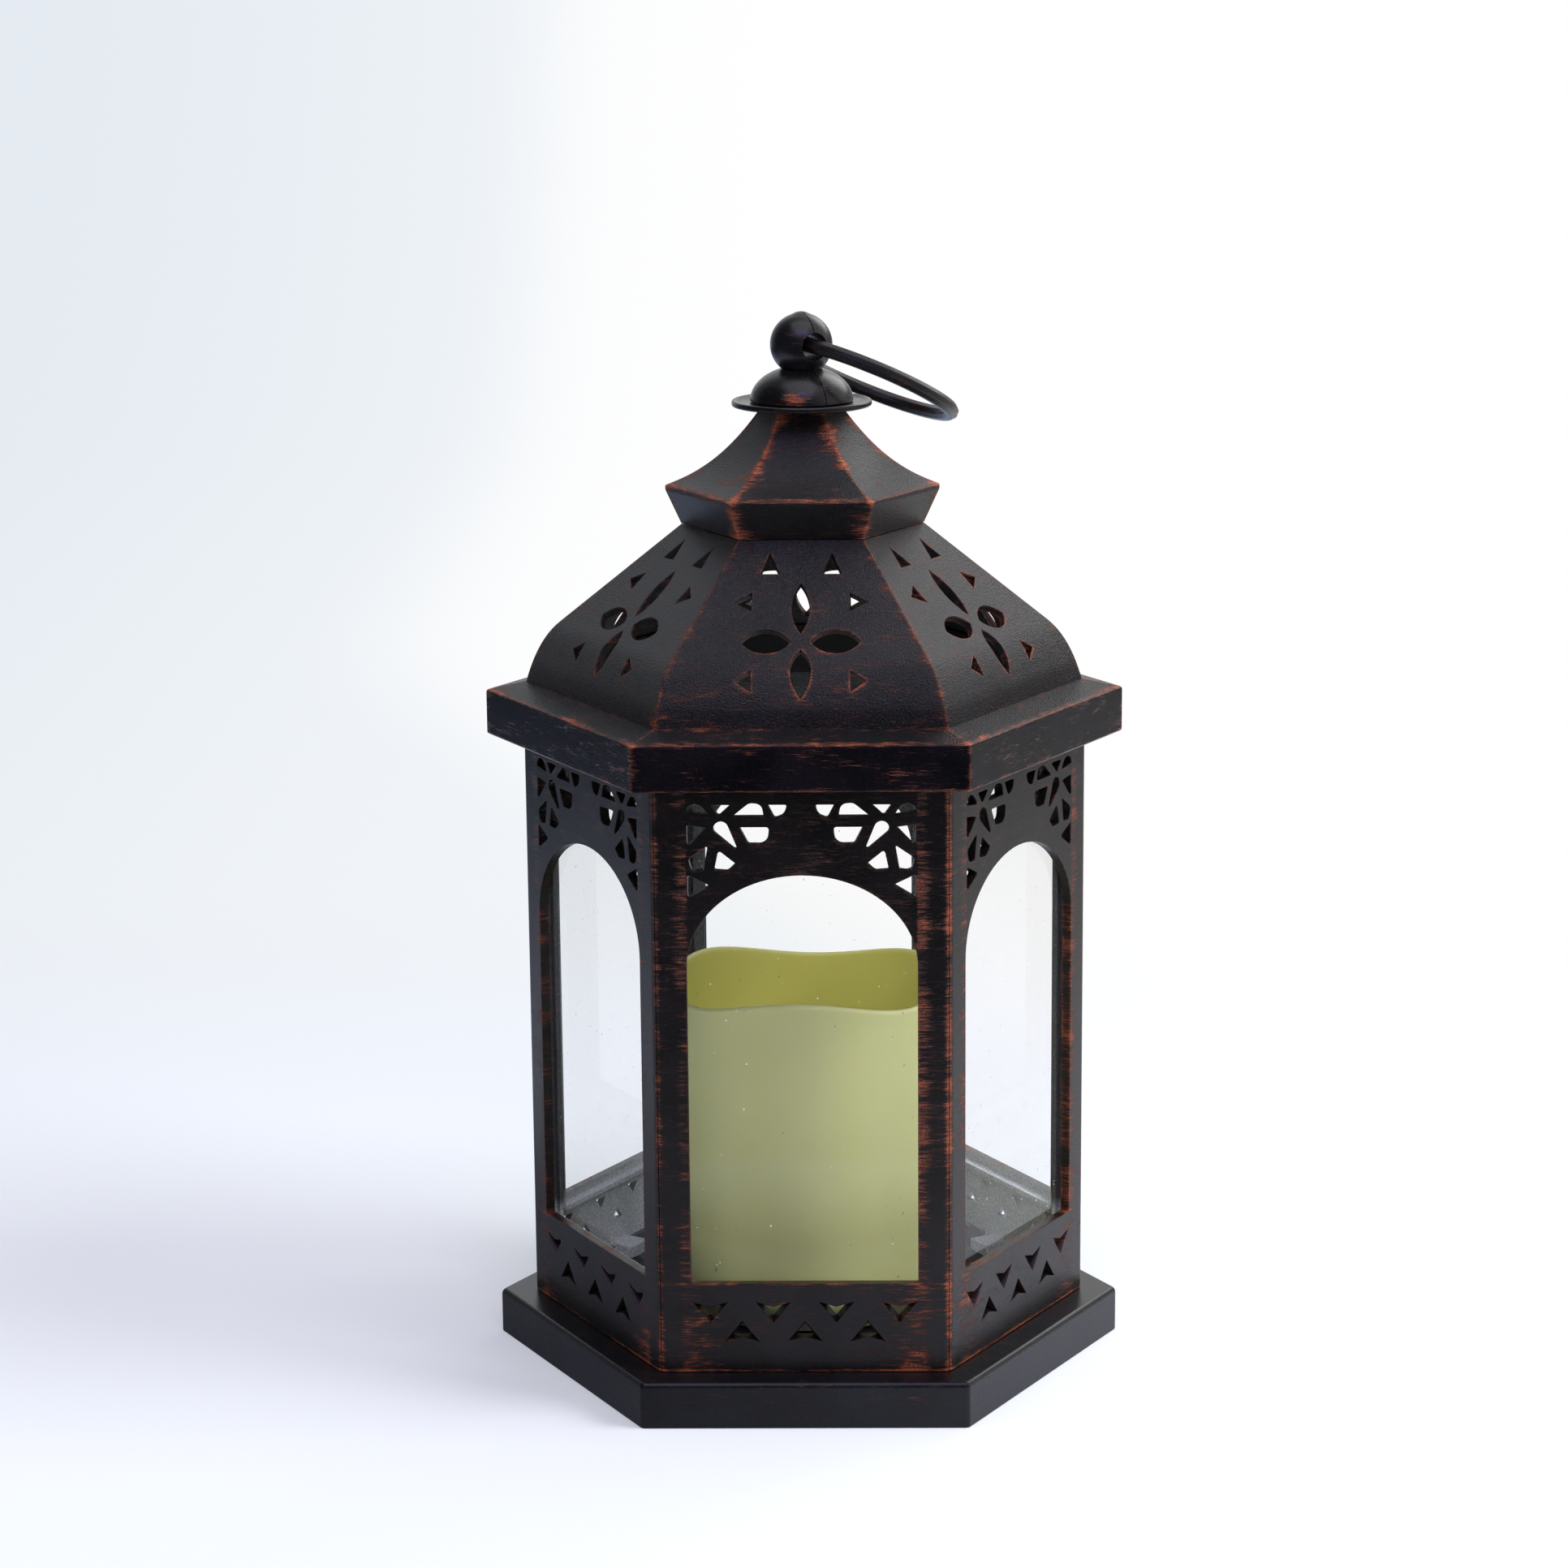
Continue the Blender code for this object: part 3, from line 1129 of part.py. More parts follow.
def make_lamp(board_material, lamp_material, lead_material):
    """Round board under the well, the lamp that stands up through it, and two leads."""
    board_top = WELL_FLOOR_Z - WELL_FLOOR - GAP
    board_under = board_top - BOARD_THICKNESS
    bm = bmesh.new()
    add_turned(bm, [(0, board_under), (BOARD_RADIUS, board_under), (BOARD_RADIUS, board_top),
                    (0, board_top)], 24)
    board = add_object("led_board", bm, board_material, smooth=True)
    foot = board_top + GAP
    tip = foot + WELL_FLOOR + LED_HEIGHT
    profile = [(0, foot), (LED_RADIUS, foot), (LED_RADIUS, tip - 1.4 * LED_RADIUS),
               (LED_RADIUS * 0.8, tip - 0.6 * LED_RADIUS),
               (LED_RADIUS * 0.35, tip - 0.12 * LED_RADIUS), (0, tip)]
    bm = bmesh.new()
    add_turned(bm, profile, 16)
    lamp = add_object("led_lamp", bm, lamp_material, smooth=True)
    low = BAY_CEILING + BAY_WALL + GAP
    high = board_under - GAP
    for i, side in enumerate((-1, 1)):
        rings = []
        for k in range(9):
            t = k / 8
            x = side * LEAD_SPREAD * (1 + math.sin(math.pi * t))
            z = low + (high - low) * t
            rings.append([Vector((x + u, v, z)) for u, v in circle(LEAD_RADIUS, 6)])
        bm = bmesh.new()
        add_loft(bm, rings)
        add_object("led_lead_%d" % (i + 1), bm, lead_material, smooth=True)
    return board, lamp


def main():
    """Build the whole lantern."""
    clear_scene()
    black = finish_material("plinth_black", (0.010, 0.010, 0.012), 0.35)
    bronze = finish_material("bronze_black", (0.020, 0.014, 0.013), 0.42, 0.1)
    roof_black = finish_material("roof_black", (0.018, 0.015, 0.017), 0.42, 0.1)
    glass = finish_material("clear_glass", (0.92, 0.95, 0.94), 0.03, 0.0, 1.0)
    wax = finish_material("cream_wax", (0.52, 0.54, 0.30), 0.45)
    steel = finish_material("screw_steel", (0.45, 0.45, 0.46), 0.35, 1.0)
    inner_black = finish_material("inner_black", (0.015, 0.015, 0.016), 0.5)
    cell = finish_material("battery_jacket", (0.06, 0.07, 0.09), 0.35, 0.2)
    contact = finish_material("contact_plate", (0.60, 0.58, 0.50), 0.3, 1.0)
    board = finish_material("board_green", (0.02, 0.12, 0.05), 0.5)
    lamp = finish_material("lamp_amber", (0.85, 0.62, 0.25), 0.2)
    lead = finish_material("lead_sleeve", (0.35, 0.02, 0.02), 0.5)
    knob = finish_material("switch_grey", (0.10, 0.10, 0.11), 0.5)

    make_plinth(black)
    make_base_screws(steel)
    make_side_panels(bronze)
    make_panes(glass)
    make_roof(roof_black)
    make_cap(roof_black)
    make_disc(bronze)
    make_finial(bronze)
    make_finial_screws(steel)
    make_carry_ring(bronze)
    make_candle_shell(wax)
    make_candle_base(inner_black)
    make_candle_screws(steel)
    make_batteries(cell)
    make_contacts(contact)
    make_battery_door(inner_black)
    make_switch(inner_black, knob)
    make_lamp(board, lamp, lead)


main()
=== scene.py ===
"""Looks of a hexagonal hurricane lantern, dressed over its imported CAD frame.

Every class builds one sub-assembly in the frame's own coordinates: metres, +Z
up, front panel towards -Y, origin at the centre of the plinth's underside.
Hexagonal sizes are corner radii, half of the width across opposite corners.
"""

import logging
import math
from collections.abc import Callable, Sequence
from dataclasses import dataclass, field
from enum import Enum
from functools import cached_property

import bmesh
import bpy
from bmesh.types import BMesh
from mathutils import Matrix, Vector


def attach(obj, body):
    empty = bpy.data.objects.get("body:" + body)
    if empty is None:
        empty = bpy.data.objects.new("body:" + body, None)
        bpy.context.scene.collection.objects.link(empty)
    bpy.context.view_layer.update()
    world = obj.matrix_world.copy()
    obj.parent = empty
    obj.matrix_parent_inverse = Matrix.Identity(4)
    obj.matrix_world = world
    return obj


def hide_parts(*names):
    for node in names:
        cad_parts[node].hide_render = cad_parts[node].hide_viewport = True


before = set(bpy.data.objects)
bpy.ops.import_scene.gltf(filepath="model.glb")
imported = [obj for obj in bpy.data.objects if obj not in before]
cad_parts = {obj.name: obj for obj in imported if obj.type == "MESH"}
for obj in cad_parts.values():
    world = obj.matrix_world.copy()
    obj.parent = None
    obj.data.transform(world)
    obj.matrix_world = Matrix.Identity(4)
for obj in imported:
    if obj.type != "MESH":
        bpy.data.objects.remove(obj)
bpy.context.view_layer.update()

LOG = logging.getLogger("lantern")
COS30 = math.cos(math.radians(30))
SIDES = 6
UP = Vector((0, 0, 1))
WHITE = (1.0, 1.0, 1.0)
MERGE = 1e-6  # points that are closer are one
WELD = 4e-6  # the same, after a Boolean
LET_IN = 0.0002  # how far a body reaches into the one that it joins
PAST = 0.001  # how far a cutter runs past the faces that it opens
SKIM = 0.00005  # how far a softened rim's cutter ends above its face
FACE_NAMES = ("front", "front_right", "back_right", "back", "back_left", "front_left")

Point = tuple[float, float]
Outline = list[Point]
Colour = tuple[float, float, float]
Spot = tuple[float, float, float]
Place = Callable[[float, float, float], Vector]


class Body(Enum):
    """Bodies of the frame that the pieces ride on."""

    LANTERN = "lantern"
    RING = "ring"


class Slot(Enum):
    """Material slots of the record."""

    PLINTH = "plinth_black"
    BRONZE = "bronze_black"
    ROOF = "roof_black"
    GLASS = "clear_glass"
    WAX = "cream_wax"
    STEEL = "screw_steel"
    INNER = "inner_black"
    JACKET = "battery_jacket"
    CONTACT = "contact_plate"
    BOARD = "board_green"
    LAMP = "lamp_amber"
    SLEEVE = "lead_sleeve"
    KNOB = "switch_grey"


class Wire:
    """Output socket of a node, with arithmetic that adds math nodes."""

    def __init__(self, graph: "Graph", socket: bpy.types.NodeSocket) -> None:
        """Wrap a socket."""
        self.graph, self.socket = graph, socket

    def __add__(self, other: "Wire | float") -> "Wire":
        """Sum."""
        return self.graph.math("ADD", self, other)

    def __sub__(self, other: "Wire | float") -> "Wire":
        """Difference."""
        return self.graph.math("SUBTRACT", self, other)

    def __rsub__(self, other: float) -> "Wire":
        """Difference from a number."""
        return self.graph.math("SUBTRACT", other, self)

    def __mul__(self, other: "Wire | float") -> "Wire":
        """Product."""
        return self.graph.math("MULTIPLY", self, other)

    def ramp(self, low: "Wire | float", high: "Wire | float", start: float = 0.0, end: float = 1.0,
             kind: str = "SMOOTHSTEP") -> "Wire":
        """Value carried from one range to another, clamped."""
        return self.graph.out("MapRange", {"Value": self, "From Min": low, "From Max": high,
                                           "To Min": start, "To Max": end}, interpolation_type=kind)

    def most(self, other: "Wire | float") -> "Wire":
        """The larger of two values."""
        return self.graph.math("MAXIMUM", self, other)


class Graph:
    """Short notation for one material's node tree."""

    def __init__(self, tree: bpy.types.NodeTree) -> None:
        """Start from an empty tree."""
        self.tree = tree
        tree.nodes.clear()

    def node(self, kind: str, inputs: dict | None = None, **settings) -> dict[str, Wire]:
        """Add a node.

        Args:
            kind: the node's type without its ShaderNode prefix.
            inputs: numbers, colours or wires by input name or index.
            settings: properties of the node itself.

        Returns:
            The outputs in use, by name.
        """
        made = self.tree.nodes.new("ShaderNode" + kind)
        for key, value in settings.items():
            setattr(made, key, value)
        for key, value in (inputs or {}).items():
            socket = made.inputs[key]
            if isinstance(value, Wire):
                self.tree.links.new(value.socket, socket)
            elif isinstance(value, tuple) and len(value) == 3 and socket.type == "RGBA":
                socket.default_value = (*value, 1.0)
            else:
                socket.default_value = value
        return {socket.name: Wire(self, socket) for socket in made.outputs if socket.enabled}

    def out(self, kind: str, inputs: dict | None = None, pick: str = "", **settings) -> Wire:
        """Add a node and return one of its outputs, by name or else the first in use."""
        outputs = self.node(kind, inputs, **settings)
        return outputs[pick] if pick else next(iter(outputs.values()))

    @cached_property
    def place(self) -> Wire:
        """Object coordinates, in metres."""
        return self.out("TexCoord", pick="Object")

    @cached_property
    def axes(self) -> tuple[Wire, Wire, Wire]:
        """X, Y and Z of the object coordinates."""
        return tuple(self.node("SeparateXYZ", {0: self.place}).values())

    def ray(self, kind: str) -> Wire:
        """Whether the ray is of a kind."""
        return self.out("LightPath", pick=f"Is {kind} Ray")

    def math(self, operation: str, *values: Wire | float, clamp: bool = False) -> Wire:
        """Result of a math node."""
        return self.out("Math", dict(enumerate(values)), operation=operation, use_clamp=clamp)

    def noise(self, scale: float, stretch: Spot = (1, 1, 1), detail: float = 2.0, roughness: float = 0.5,
              distortion: float = 0.0, shift: float = 0.0) -> Wire:
        """Noise in the object's own space.

        Args:
            scale: cycles per metre.
            stretch: factors on the three axes.
            shift: offset that sets one noise apart from another.

        Returns:
            The noise value.
        """
        mapped = self.out("Mapping", {"Vector": self.place, "Scale": Vector(stretch) * scale,
                                      "Location": (shift, -shift, shift / 2)})
        return self.out("TexNoise", {"Vector": mapped, "Scale": 1.0, "Detail": detail,
                                     "Roughness": roughness, "Distortion": distortion}, "Fac")

    def blend(self, factor: Wire | float, first: Wire | Colour, second: Wire | Colour,
              kind: str = "MIX") -> Wire:
        """Mix of two colours."""
        return self.out("Mix", {0: factor, 6: first, 7: second}, data_type="RGBA", blend_type=kind)

    def mix(self, factor: Wire, first: Wire, second: Wire) -> Wire:
        """Mix of two shaders."""
        return self.out("MixShader", {0: factor, 1: first, 2: second})

    def edge(self, distance: float) -> Wire:
        """How close a point is to a convex edge, from 0 to about 0.5."""
        return 1.0 - self.out("AmbientOcclusion", {"Distance": distance}, "AO", inside=True,
                              only_local=True, samples=6)

    def bump(self, height: Wire, strength: float, distance: float) -> Wire:
        """Normal bent by a height in units of distance."""
        return self.out("Bump", {"Height": height, "Strength": strength, "Distance": distance})

    def finish(self, shader: Wire) -> None:
        """Send a shader to the output."""
        self.node("OutputMaterial", {"Surface": shader})

    def coat(self, **inputs) -> None:
        """Finish with a principled shader, whose inputs are named with underscores for spaces."""
        self.finish(self.out("BsdfPrincipled", {k.replace("_", " "): v for k, v in inputs.items()}))


@dataclass(frozen=True)
class Finish:
    """A material that is made once and shared by the pieces that use it."""

    name: str

    def dress(self, graph: Graph) -> None:
        """Lay out the node tree."""
        raise NotImplementedError

    def material(self) -> bpy.types.Material:
        """The finished material, made on first use."""
        found = bpy.data.materials.get("look_" + self.name)
        if found is None:
            found = bpy.data.materials.new("look_" + self.name)
            found.use_nodes = True
            self.dress(Graph(found.node_tree))
        return found


@dataclass(frozen=True)
class RubbedPlastic(Finish):
    """Near-black plastic dry-brushed with copper in level strokes, most of it on the edges.

    A worn level is a height, a reach and a gain, and a worn spot is a centre, a radius
    and a gain.  Spots are half as tall as they are wide, as the brush went level.
    Window posts are worn from the jamb to the corner, and the rail under the sill too;
    both are measured from the face's middle line.
    """

    black: Colour = (0.0034, 0.0029, 0.0032)
    sheen: Colour = (0.0066, 0.0050, 0.0054)
    gloss: float = 0.30
    roughness: float = 0.34
    copper: Colour = (0.40, 0.106, 0.048)
    copper_dark: Colour = (0.085, 0.026, 0.016)
    strokes: float = 0.0
    posts: float = 0.0
    jamb: Point = (0.0335, 0.0372)
    corner: Point = (0.0388, 0.0404)
    sill: Point = (0.038, 0.041)
    rail_from: float = 0.0180
    post_from: float = 0.0314
    edges: float = 0.5
    edge_reach: float = 0.0009
    hips: float = 0.0
    hip_reach: float = 0.0035
    hip_line: float = 0.0
    halo: float = 0.0
    scratches: float = 0.5
    grain: float = 0.25
    # amount of pale specks painted into the colour as glints on the grain
    painted_glints: float = 0.05
    calm: Point = (-1.0, -0.5)
    polish: tuple = ()
    levels: tuple = ()
    spots: tuple = ()

    def across(self, graph: Graph) -> tuple[Wire, Wire]:
        """Distances of a point from the middle line of its face and from the nearest corner line."""
        x, y, _ = graph.axes
        near = graph.math("PINGPONG", graph.math("ARCTAN2", y, x), math.radians(30))
        length = graph.math("SQRT", x * x + y * y)
        return (length * graph.math("SINE", math.radians(30) - near), length * graph.math("SINE", near))

    def density(self, graph: Graph) -> Wire:
        """How readily the brush has left copper, from the place on the lantern."""
        x, _, z = graph.axes
        across, corner = self.across(graph)
        broad = graph.noise(38, detail=2, shift=3.1)
        density = broad.ramp(0.30, 0.68, self.strokes * 0.2, self.strokes)
        if self.posts:
            run = graph.noise(1.0, (30, 30, 75), detail=2, shift=11.0).ramp(0.3, 0.7, -0.035, 0.035)
            here = across.ramp(*self.jamb, 0.060, -0.055) + across.ramp(*self.corner, 0.0, 0.115) + run
            here = here + x.ramp(-0.030, 0.030, self.posts - 0.032, self.posts + 0.008)
            low = z.ramp(*self.sill, self.rail_from, self.post_from)
            blur = low.ramp(self.rail_from, self.post_from, 0.016, 0.001)
            density = density + here * across.ramp(low, low + blur)
        if self.hips:
            fray = graph.noise(1.0, (60, 60, 170), detail=3, shift=13.0).ramp(0.3, 0.7, 0.25, 1.5)
            density = density + self.within(corner, fray * self.hip_reach) * self.hips
        for height, reach, gain in self.levels:
            away = graph.math("ABSOLUTE", z - height)
            density = density + away.ramp(reach * 0.3, reach, gain, 0.0)
        worn = graph.edge(self.edge_reach).ramp(0.07, 0.42)
        worn = worn * broad.ramp(0.32, 0.62, self.edges * 0.45, self.edges)
        density = density + worn * x.ramp(-0.035, 0.035, 0.55, 1.15)
        if self.halo:
            density = density + graph.edge(0.0016).ramp(0.08, 0.40, 0.0, self.halo)
        flat = graph.out("VectorMath", {0: graph.place, 1: (1.0, 1.0, 2.0)}, operation="MULTIPLY")
        for (cx, cy, cz), radius, gain in self.spots:
            gap = graph.out("VectorMath", {0: flat, 1: (cx, cy, cz * 2)}, "Value", operation="DISTANCE")
            density = density + gap.ramp(0.0, radius, gain, 0.0)
        return density

    @staticmethod
    def within(distance: Wire, reach: Wire) -> Wire:
        """Share from 1 at no distance down to 0 at the reach."""
        graph = distance.graph
        return graph.math("SUBTRACT", 1.0, graph.math("DIVIDE", distance, reach), clamp=True)

    def dress(self, graph: Graph) -> None:
        """Black ground, copper strokes over it, scratches, fine grain and painted glints."""
        z = graph.axes[2]
        lively = z.ramp(*self.calm, 0.15, 1.0)
        fine = graph.noise(1.0, (230, 230, 2700), detail=4, roughness=0.65, distortion=0.25)
        patch = graph.noise(1.0, (75, 75, 330), detail=3, roughness=0.6, distortion=0.4, shift=7.3)
        laid = fine * 0.62 + patch * 0.38 + self.density(graph)
        scratch = graph.noise(1.0, (170, 170, 3400), detail=3, roughness=0.7, distortion=0.12, shift=21.0)
        scratch = scratch + patch.ramp(0.35, 0.65, -0.04, 0.04)
        mask = laid.ramp(0.60, 0.73).most(scratch.ramp(0.615, 0.69, 0.0, self.scratches) * lively)
        if self.hip_line:
            broken = graph.noise(420, detail=2, shift=19.0).ramp(0.38, 0.60, 0.00002, self.hip_line)
            mask = mask.most(self.within(self.across(graph)[1], broken).ramp(0.0, 0.5))
        speck = graph.noise(2400, detail=2, roughness=0.7, shift=1.7)
        mask = mask * speck.ramp(0.34, 0.54, 0.30, 1.0)
        copper = graph.blend((laid + speck * 0.15).ramp(0.73, 0.98), self.copper_dark, self.copper)
        cloud = graph.noise(55, detail=3, shift=15.0).ramp(0.35, 0.65)
        colour = graph.blend(mask, graph.blend(cloud, self.black, self.sheen), copper)
        # painted glints: pale specks in the base colour stand in for highlights on the grain, fewer low on
        # the fascia
        painted_glint = graph.noise(2600, detail=1, shift=27.0).ramp(0.62, 0.74, 0.0, self.painted_glints) * lively
        rough = (mask + speck * 0.3).ramp(0.0, 1.3, self.roughness - 0.04, self.roughness + 0.18)
        peel = graph.noise(2100, detail=2, roughness=0.6, shift=17.0)
        height = peel * (lively * self.grain) + mask * 0.10
        graph.coat(Base_Color=graph.blend(painted_glint, colour, (0.14, 0.12, 0.12)), Metallic=mask * 0.3,
                   Roughness=rough * lively.ramp(0.15, 1.0, 0.62, 1.0),
                   Specular_IOR_Level=z.ramp(*self.polish) if self.polish else self.gloss,
                   Normal=graph.bump(height, 0.8, 0.0006))


@dataclass(frozen=True)
class MouldedPlastic(Finish):
    """Plain moulded plastic with a fine grain and a little dust."""

    colour: Colour
    roughness: float
    grain: float

    def dress(self, graph: Graph) -> None:
        """Even ground, faint cloudiness and sparse pale specks."""
        cloud = graph.noise(40, detail=3, shift=4.4).ramp(0.35, 0.65)
        grain = graph.noise(2200, detail=2, roughness=0.7)
        speck = graph.noise(900, detail=1, shift=9.0).ramp(0.76, 0.80, 0.0, 0.12)
        ground = graph.blend(cloud, self.colour, tuple(min(1.0, c * 1.5 + 0.002) for c in self.colour))
        graph.coat(Base_Color=graph.blend(speck, ground, (0.35, 0.34, 0.32)),
                   Roughness=grain.ramp(0.3, 0.7, self.roughness, self.roughness + 0.1),
                   Specular_IOR_Level=0.45, Normal=graph.bump(grain, self.grain, 0.0002))


@dataclass(frozen=True)
class SparkedPlastic(Finish):
    """Inside face of a moulding, with a coarse spark-eroded grain, with painted light low down and painted
    shade above the sill.
    """

    colour: Colour = (0.145, 0.152, 0.164)
    # factors of painted light below the sill and of painted shade above it
    low: float = 1.0
    high: float = 1.0
    sill: Point = (0.038, 0.044)

    def dress(self, graph: Graph) -> None:
        """Mottled grey with bright and dark grains."""
        grain = graph.noise(1500, detail=3, roughness=0.75)
        colour = graph.blend(grain.ramp(0.40, 0.66), self.colour, tuple(c * 1.8 for c in self.colour))
        # painted light and shade: the colour is scaled by height, up below the sill and down above it
        shade = graph.axes[2].ramp(*self.sill, self.low, self.high)
        colour = graph.out("VectorMath", {0: colour, "Scale": shade}, operation="SCALE")
        graph.coat(Base_Color=colour, Roughness=0.5, Normal=graph.bump(grain, 0.6, 0.0004))


@dataclass(frozen=True)
class ClearGlass(Finish):
    """Thin clear sheet: mirror-like by Fresnel, with faint dust."""

    tint: Colour = (0.999, 1.0, 0.998)

    def dress(self, graph: Graph) -> None:
        """Transparent body, a mirror on the outward side, haze and specks."""
        clear = graph.out("BsdfTransparent", {"Color": self.tint})
        gloss = graph.out("BsdfGlossy", {"Roughness": 0.02})
        outward = 1.0 - graph.out("NewGeometry", pick="Backfacing")
        fresnel = graph.out("Fresnel", {"IOR": 1.45}) * 1.6 - 0.034
        mirror = graph.math("MULTIPLY", fresnel, outward, clamp=True)
        dust = graph.out("BsdfDiffuse", {"Color": (0.72, 0.74, 0.74)})
        speck = graph.noise(1100, detail=1, roughness=0.3, shift=5.0).ramp(0.79, 0.82, 0.0, 0.8)
        haze = graph.noise(60, detail=3, shift=2.0).ramp(0.35, 0.7, 0.0005, 0.003)
        graph.finish(graph.mix(speck.most(haze), graph.mix(mirror, clear, gloss), dust))


@dataclass(frozen=True)
class CreamWax(Finish):
    """Wax-like plastic that is paler outside and deeper in the well, where the deeper yellow is a painted
    glow of light through the wax.
    """

    outside: Colour = (0.442, 0.457, 0.202)
    # painted glow: the well's deeper yellow stands in for light through the wax
    inside: Colour = (0.52, 0.51, 0.145)
    # painted highlight colour on the rim's rounded edge
    lip: Colour = (0.74, 0.76, 0.56)
    # painted shadow colour, low on the candle where the rail shades it
    foot: Colour = (0.050, 0.050, 0.035)
    wall: Point = (0.0386, 0.0392)
    well: Point = (0.0850, 0.0860)
    shadow: Point = (0.018, 0.024)

    def dress(self, graph: Graph) -> None:
        """Soft cream body with dark specks, slight clouding, a painted glow in the well, painted shadow at
        the foot and a painted highlight on the rim.
        """
        x, y, z = graph.axes
        cloud = graph.noise(26, detail=3, shift=2.2).ramp(0.3, 0.7)
        speck = graph.noise(620, detail=1, roughness=0.4, shift=6.0).ramp(0.775, 0.80, 0.0, 0.55)
        ground = graph.blend(cloud, self.outside, tuple(c * 0.93 for c in self.outside))
        within = graph.math("SQRT", x * x + y * y).ramp(*self.wall, 1.0, 0.0)
        above = z.ramp(*self.well)
        # painted glow of light through the wax on the well's inner wall
        ground = graph.blend(within * above, ground, self.inside)
        # painted shadow, darker towards the foot
        ground = graph.blend(z.ramp(*self.shadow, 0.85, 0.0), ground, self.foot)
        # painted highlight on the convex edges of the rim
        ground = graph.blend(graph.edge(0.0014).ramp(0.10, 0.45, 0.0, 0.75) * above, ground, self.lip)
        graph.coat(Base_Color=graph.blend(speck, ground, (0.10, 0.09, 0.04)), Roughness=0.42,
                   Subsurface_Weight=0.25, Subsurface_Radius=(0.9, 0.75, 0.35), Subsurface_Scale=0.004,
                   Normal=graph.bump(graph.noise(700, detail=2), 0.12, 0.0002))


@dataclass(frozen=True)
class Metal(Finish):
    """Plated metal, slightly uneven."""

    colour: Colour = (0.55, 0.55, 0.56)
    roughness: float = 0.3

    def dress(self, graph: Graph) -> None:
        """Slightly uneven plating."""
        cloud = graph.noise(900, detail=3)
        colour = graph.blend(cloud.ramp(0.3, 0.7), tuple(c * 0.7 for c in self.colour), self.colour)
        graph.coat(Base_Color=colour, Metallic=1.0,
                   Roughness=cloud.ramp(0.3, 0.7, self.roughness, self.roughness + 0.12))


@dataclass(frozen=True)
class BatteryJacket(Finish):
    """Plain dark jacket with a paler band at the positive end and bare steel ends."""

    half_length: float = 0.0222
    tip: Point = (0.0012, 0.0010)
    band: Point = (0.0150, 0.0153)

    def dress(self, graph: Graph) -> None:
        """Jacket by its length along X, steel past both ends."""
        away = graph.math("ABSOLUTE", graph.axes[0])
        bare = away.ramp(*(self.half_length - tip for tip in self.tip))
        colour = graph.blend(away.ramp(*self.band), (0.035, 0.045, 0.065), (0.30, 0.24, 0.14))
        graph.coat(Base_Color=graph.blend(bare, colour, (0.55, 0.55, 0.55)), Metallic=bare,
                   Roughness=graph.noise(500, detail=2).ramp(0.3, 0.7, 0.25, 0.35))


@dataclass(frozen=True)
class LampResin(Finish):
    """Clear amber resin of the lamp."""

    def dress(self, graph: Graph) -> None:
        """Warm translucent body."""
        colour = graph.blend(graph.noise(400, detail=2), (0.80, 0.55, 0.20), (0.90, 0.72, 0.35))
        graph.coat(Base_Color=colour, Roughness=0.12, Subsurface_Weight=0.5,
                   Subsurface_Radius=(1.0, 0.7, 0.3), Subsurface_Scale=0.002)


@dataclass(frozen=True)
class CircuitBoard(Finish):
    """Green lacquer with copper tracks under it."""

    def dress(self, graph: Graph) -> None:
        """Tracks as bands of a distorted wave."""
        wave = graph.out("TexWave", {"Vector": graph.place, "Scale": 160.0, "Distortion": 3.0}, "Fac")
        graph.coat(Base_Color=graph.blend(wave.ramp(0.6, 0.7), (0.012, 0.085, 0.03), (0.05, 0.19, 0.06)),
                   Roughness=0.3)


BRONZE_PANEL = RubbedPlastic(
    "bronze_panel", strokes=0.036, gloss=0.35, posts=0.062, edges=0.10, grain=0.15,
    levels=((0.0400, 0.0006, 0.09), (0.0140, 0.0008, 0.13)))
BRONZE_FINIAL = RubbedPlastic(
    "bronze_finial", black=(0.0036, 0.0036, 0.0046), sheen=(0.0060, 0.0058, 0.0072), gloss=0.45,
    edges=0.08, grain=0.08, roughness=0.30,
    spots=(((-0.002, -0.0140, 0.2842), 0.0085, 0.28), ((0.0085, -0.0095, 0.2855), 0.004, 0.10),
           ((0.0420, 0.0270, 0.2760), 0.012, 0.16)))
BRONZE_RING = RubbedPlastic(
    "bronze_ring", black=(0.0036, 0.0036, 0.0042), sheen=(0.0060, 0.0058, 0.0066), gloss=0.5,
    strokes=0.05, edges=0.45, edge_reach=0.0006, grain=0.2,
    spots=(((0.0453, 0.0095, 0.2774), 0.0090, 0.20), ((0.0060, 0.0120, 0.2880), 0.0130, 0.22)))
ROOF_BLACK = RubbedPlastic(
    "roof_black", black=(0.0021, 0.0020, 0.0030), sheen=(0.0046, 0.0040, 0.0058), painted_glints=0.22,
    calm=(0.1975, 0.1985), polish=(0.2035, 0.2080, 0.22, 0.50), strokes=0.054, hips=0.11,
    hip_reach=0.0026, hip_line=0.00042, halo=0.08, edges=0.12, edge_reach=0.0008, scratches=0.95,
    grain=1.0, roughness=0.37,
    levels=((0.1980, 0.0006, 0.13), (0.1848, 0.0006, 0.09), (0.2003, 0.0006, 0.07)))
CAP_BLACK = RubbedPlastic(
    "cap_black", black=(0.0024, 0.0023, 0.0029), sheen=(0.0050, 0.0043, 0.0052), painted_glints=0.10,
    strokes=0.06, hips=0.21, hip_reach=0.0050, edges=0.18, scratches=0.7, grain=0.6, gloss=0.41,
    roughness=0.38, levels=((0.2579, 0.0010, 0.15),))
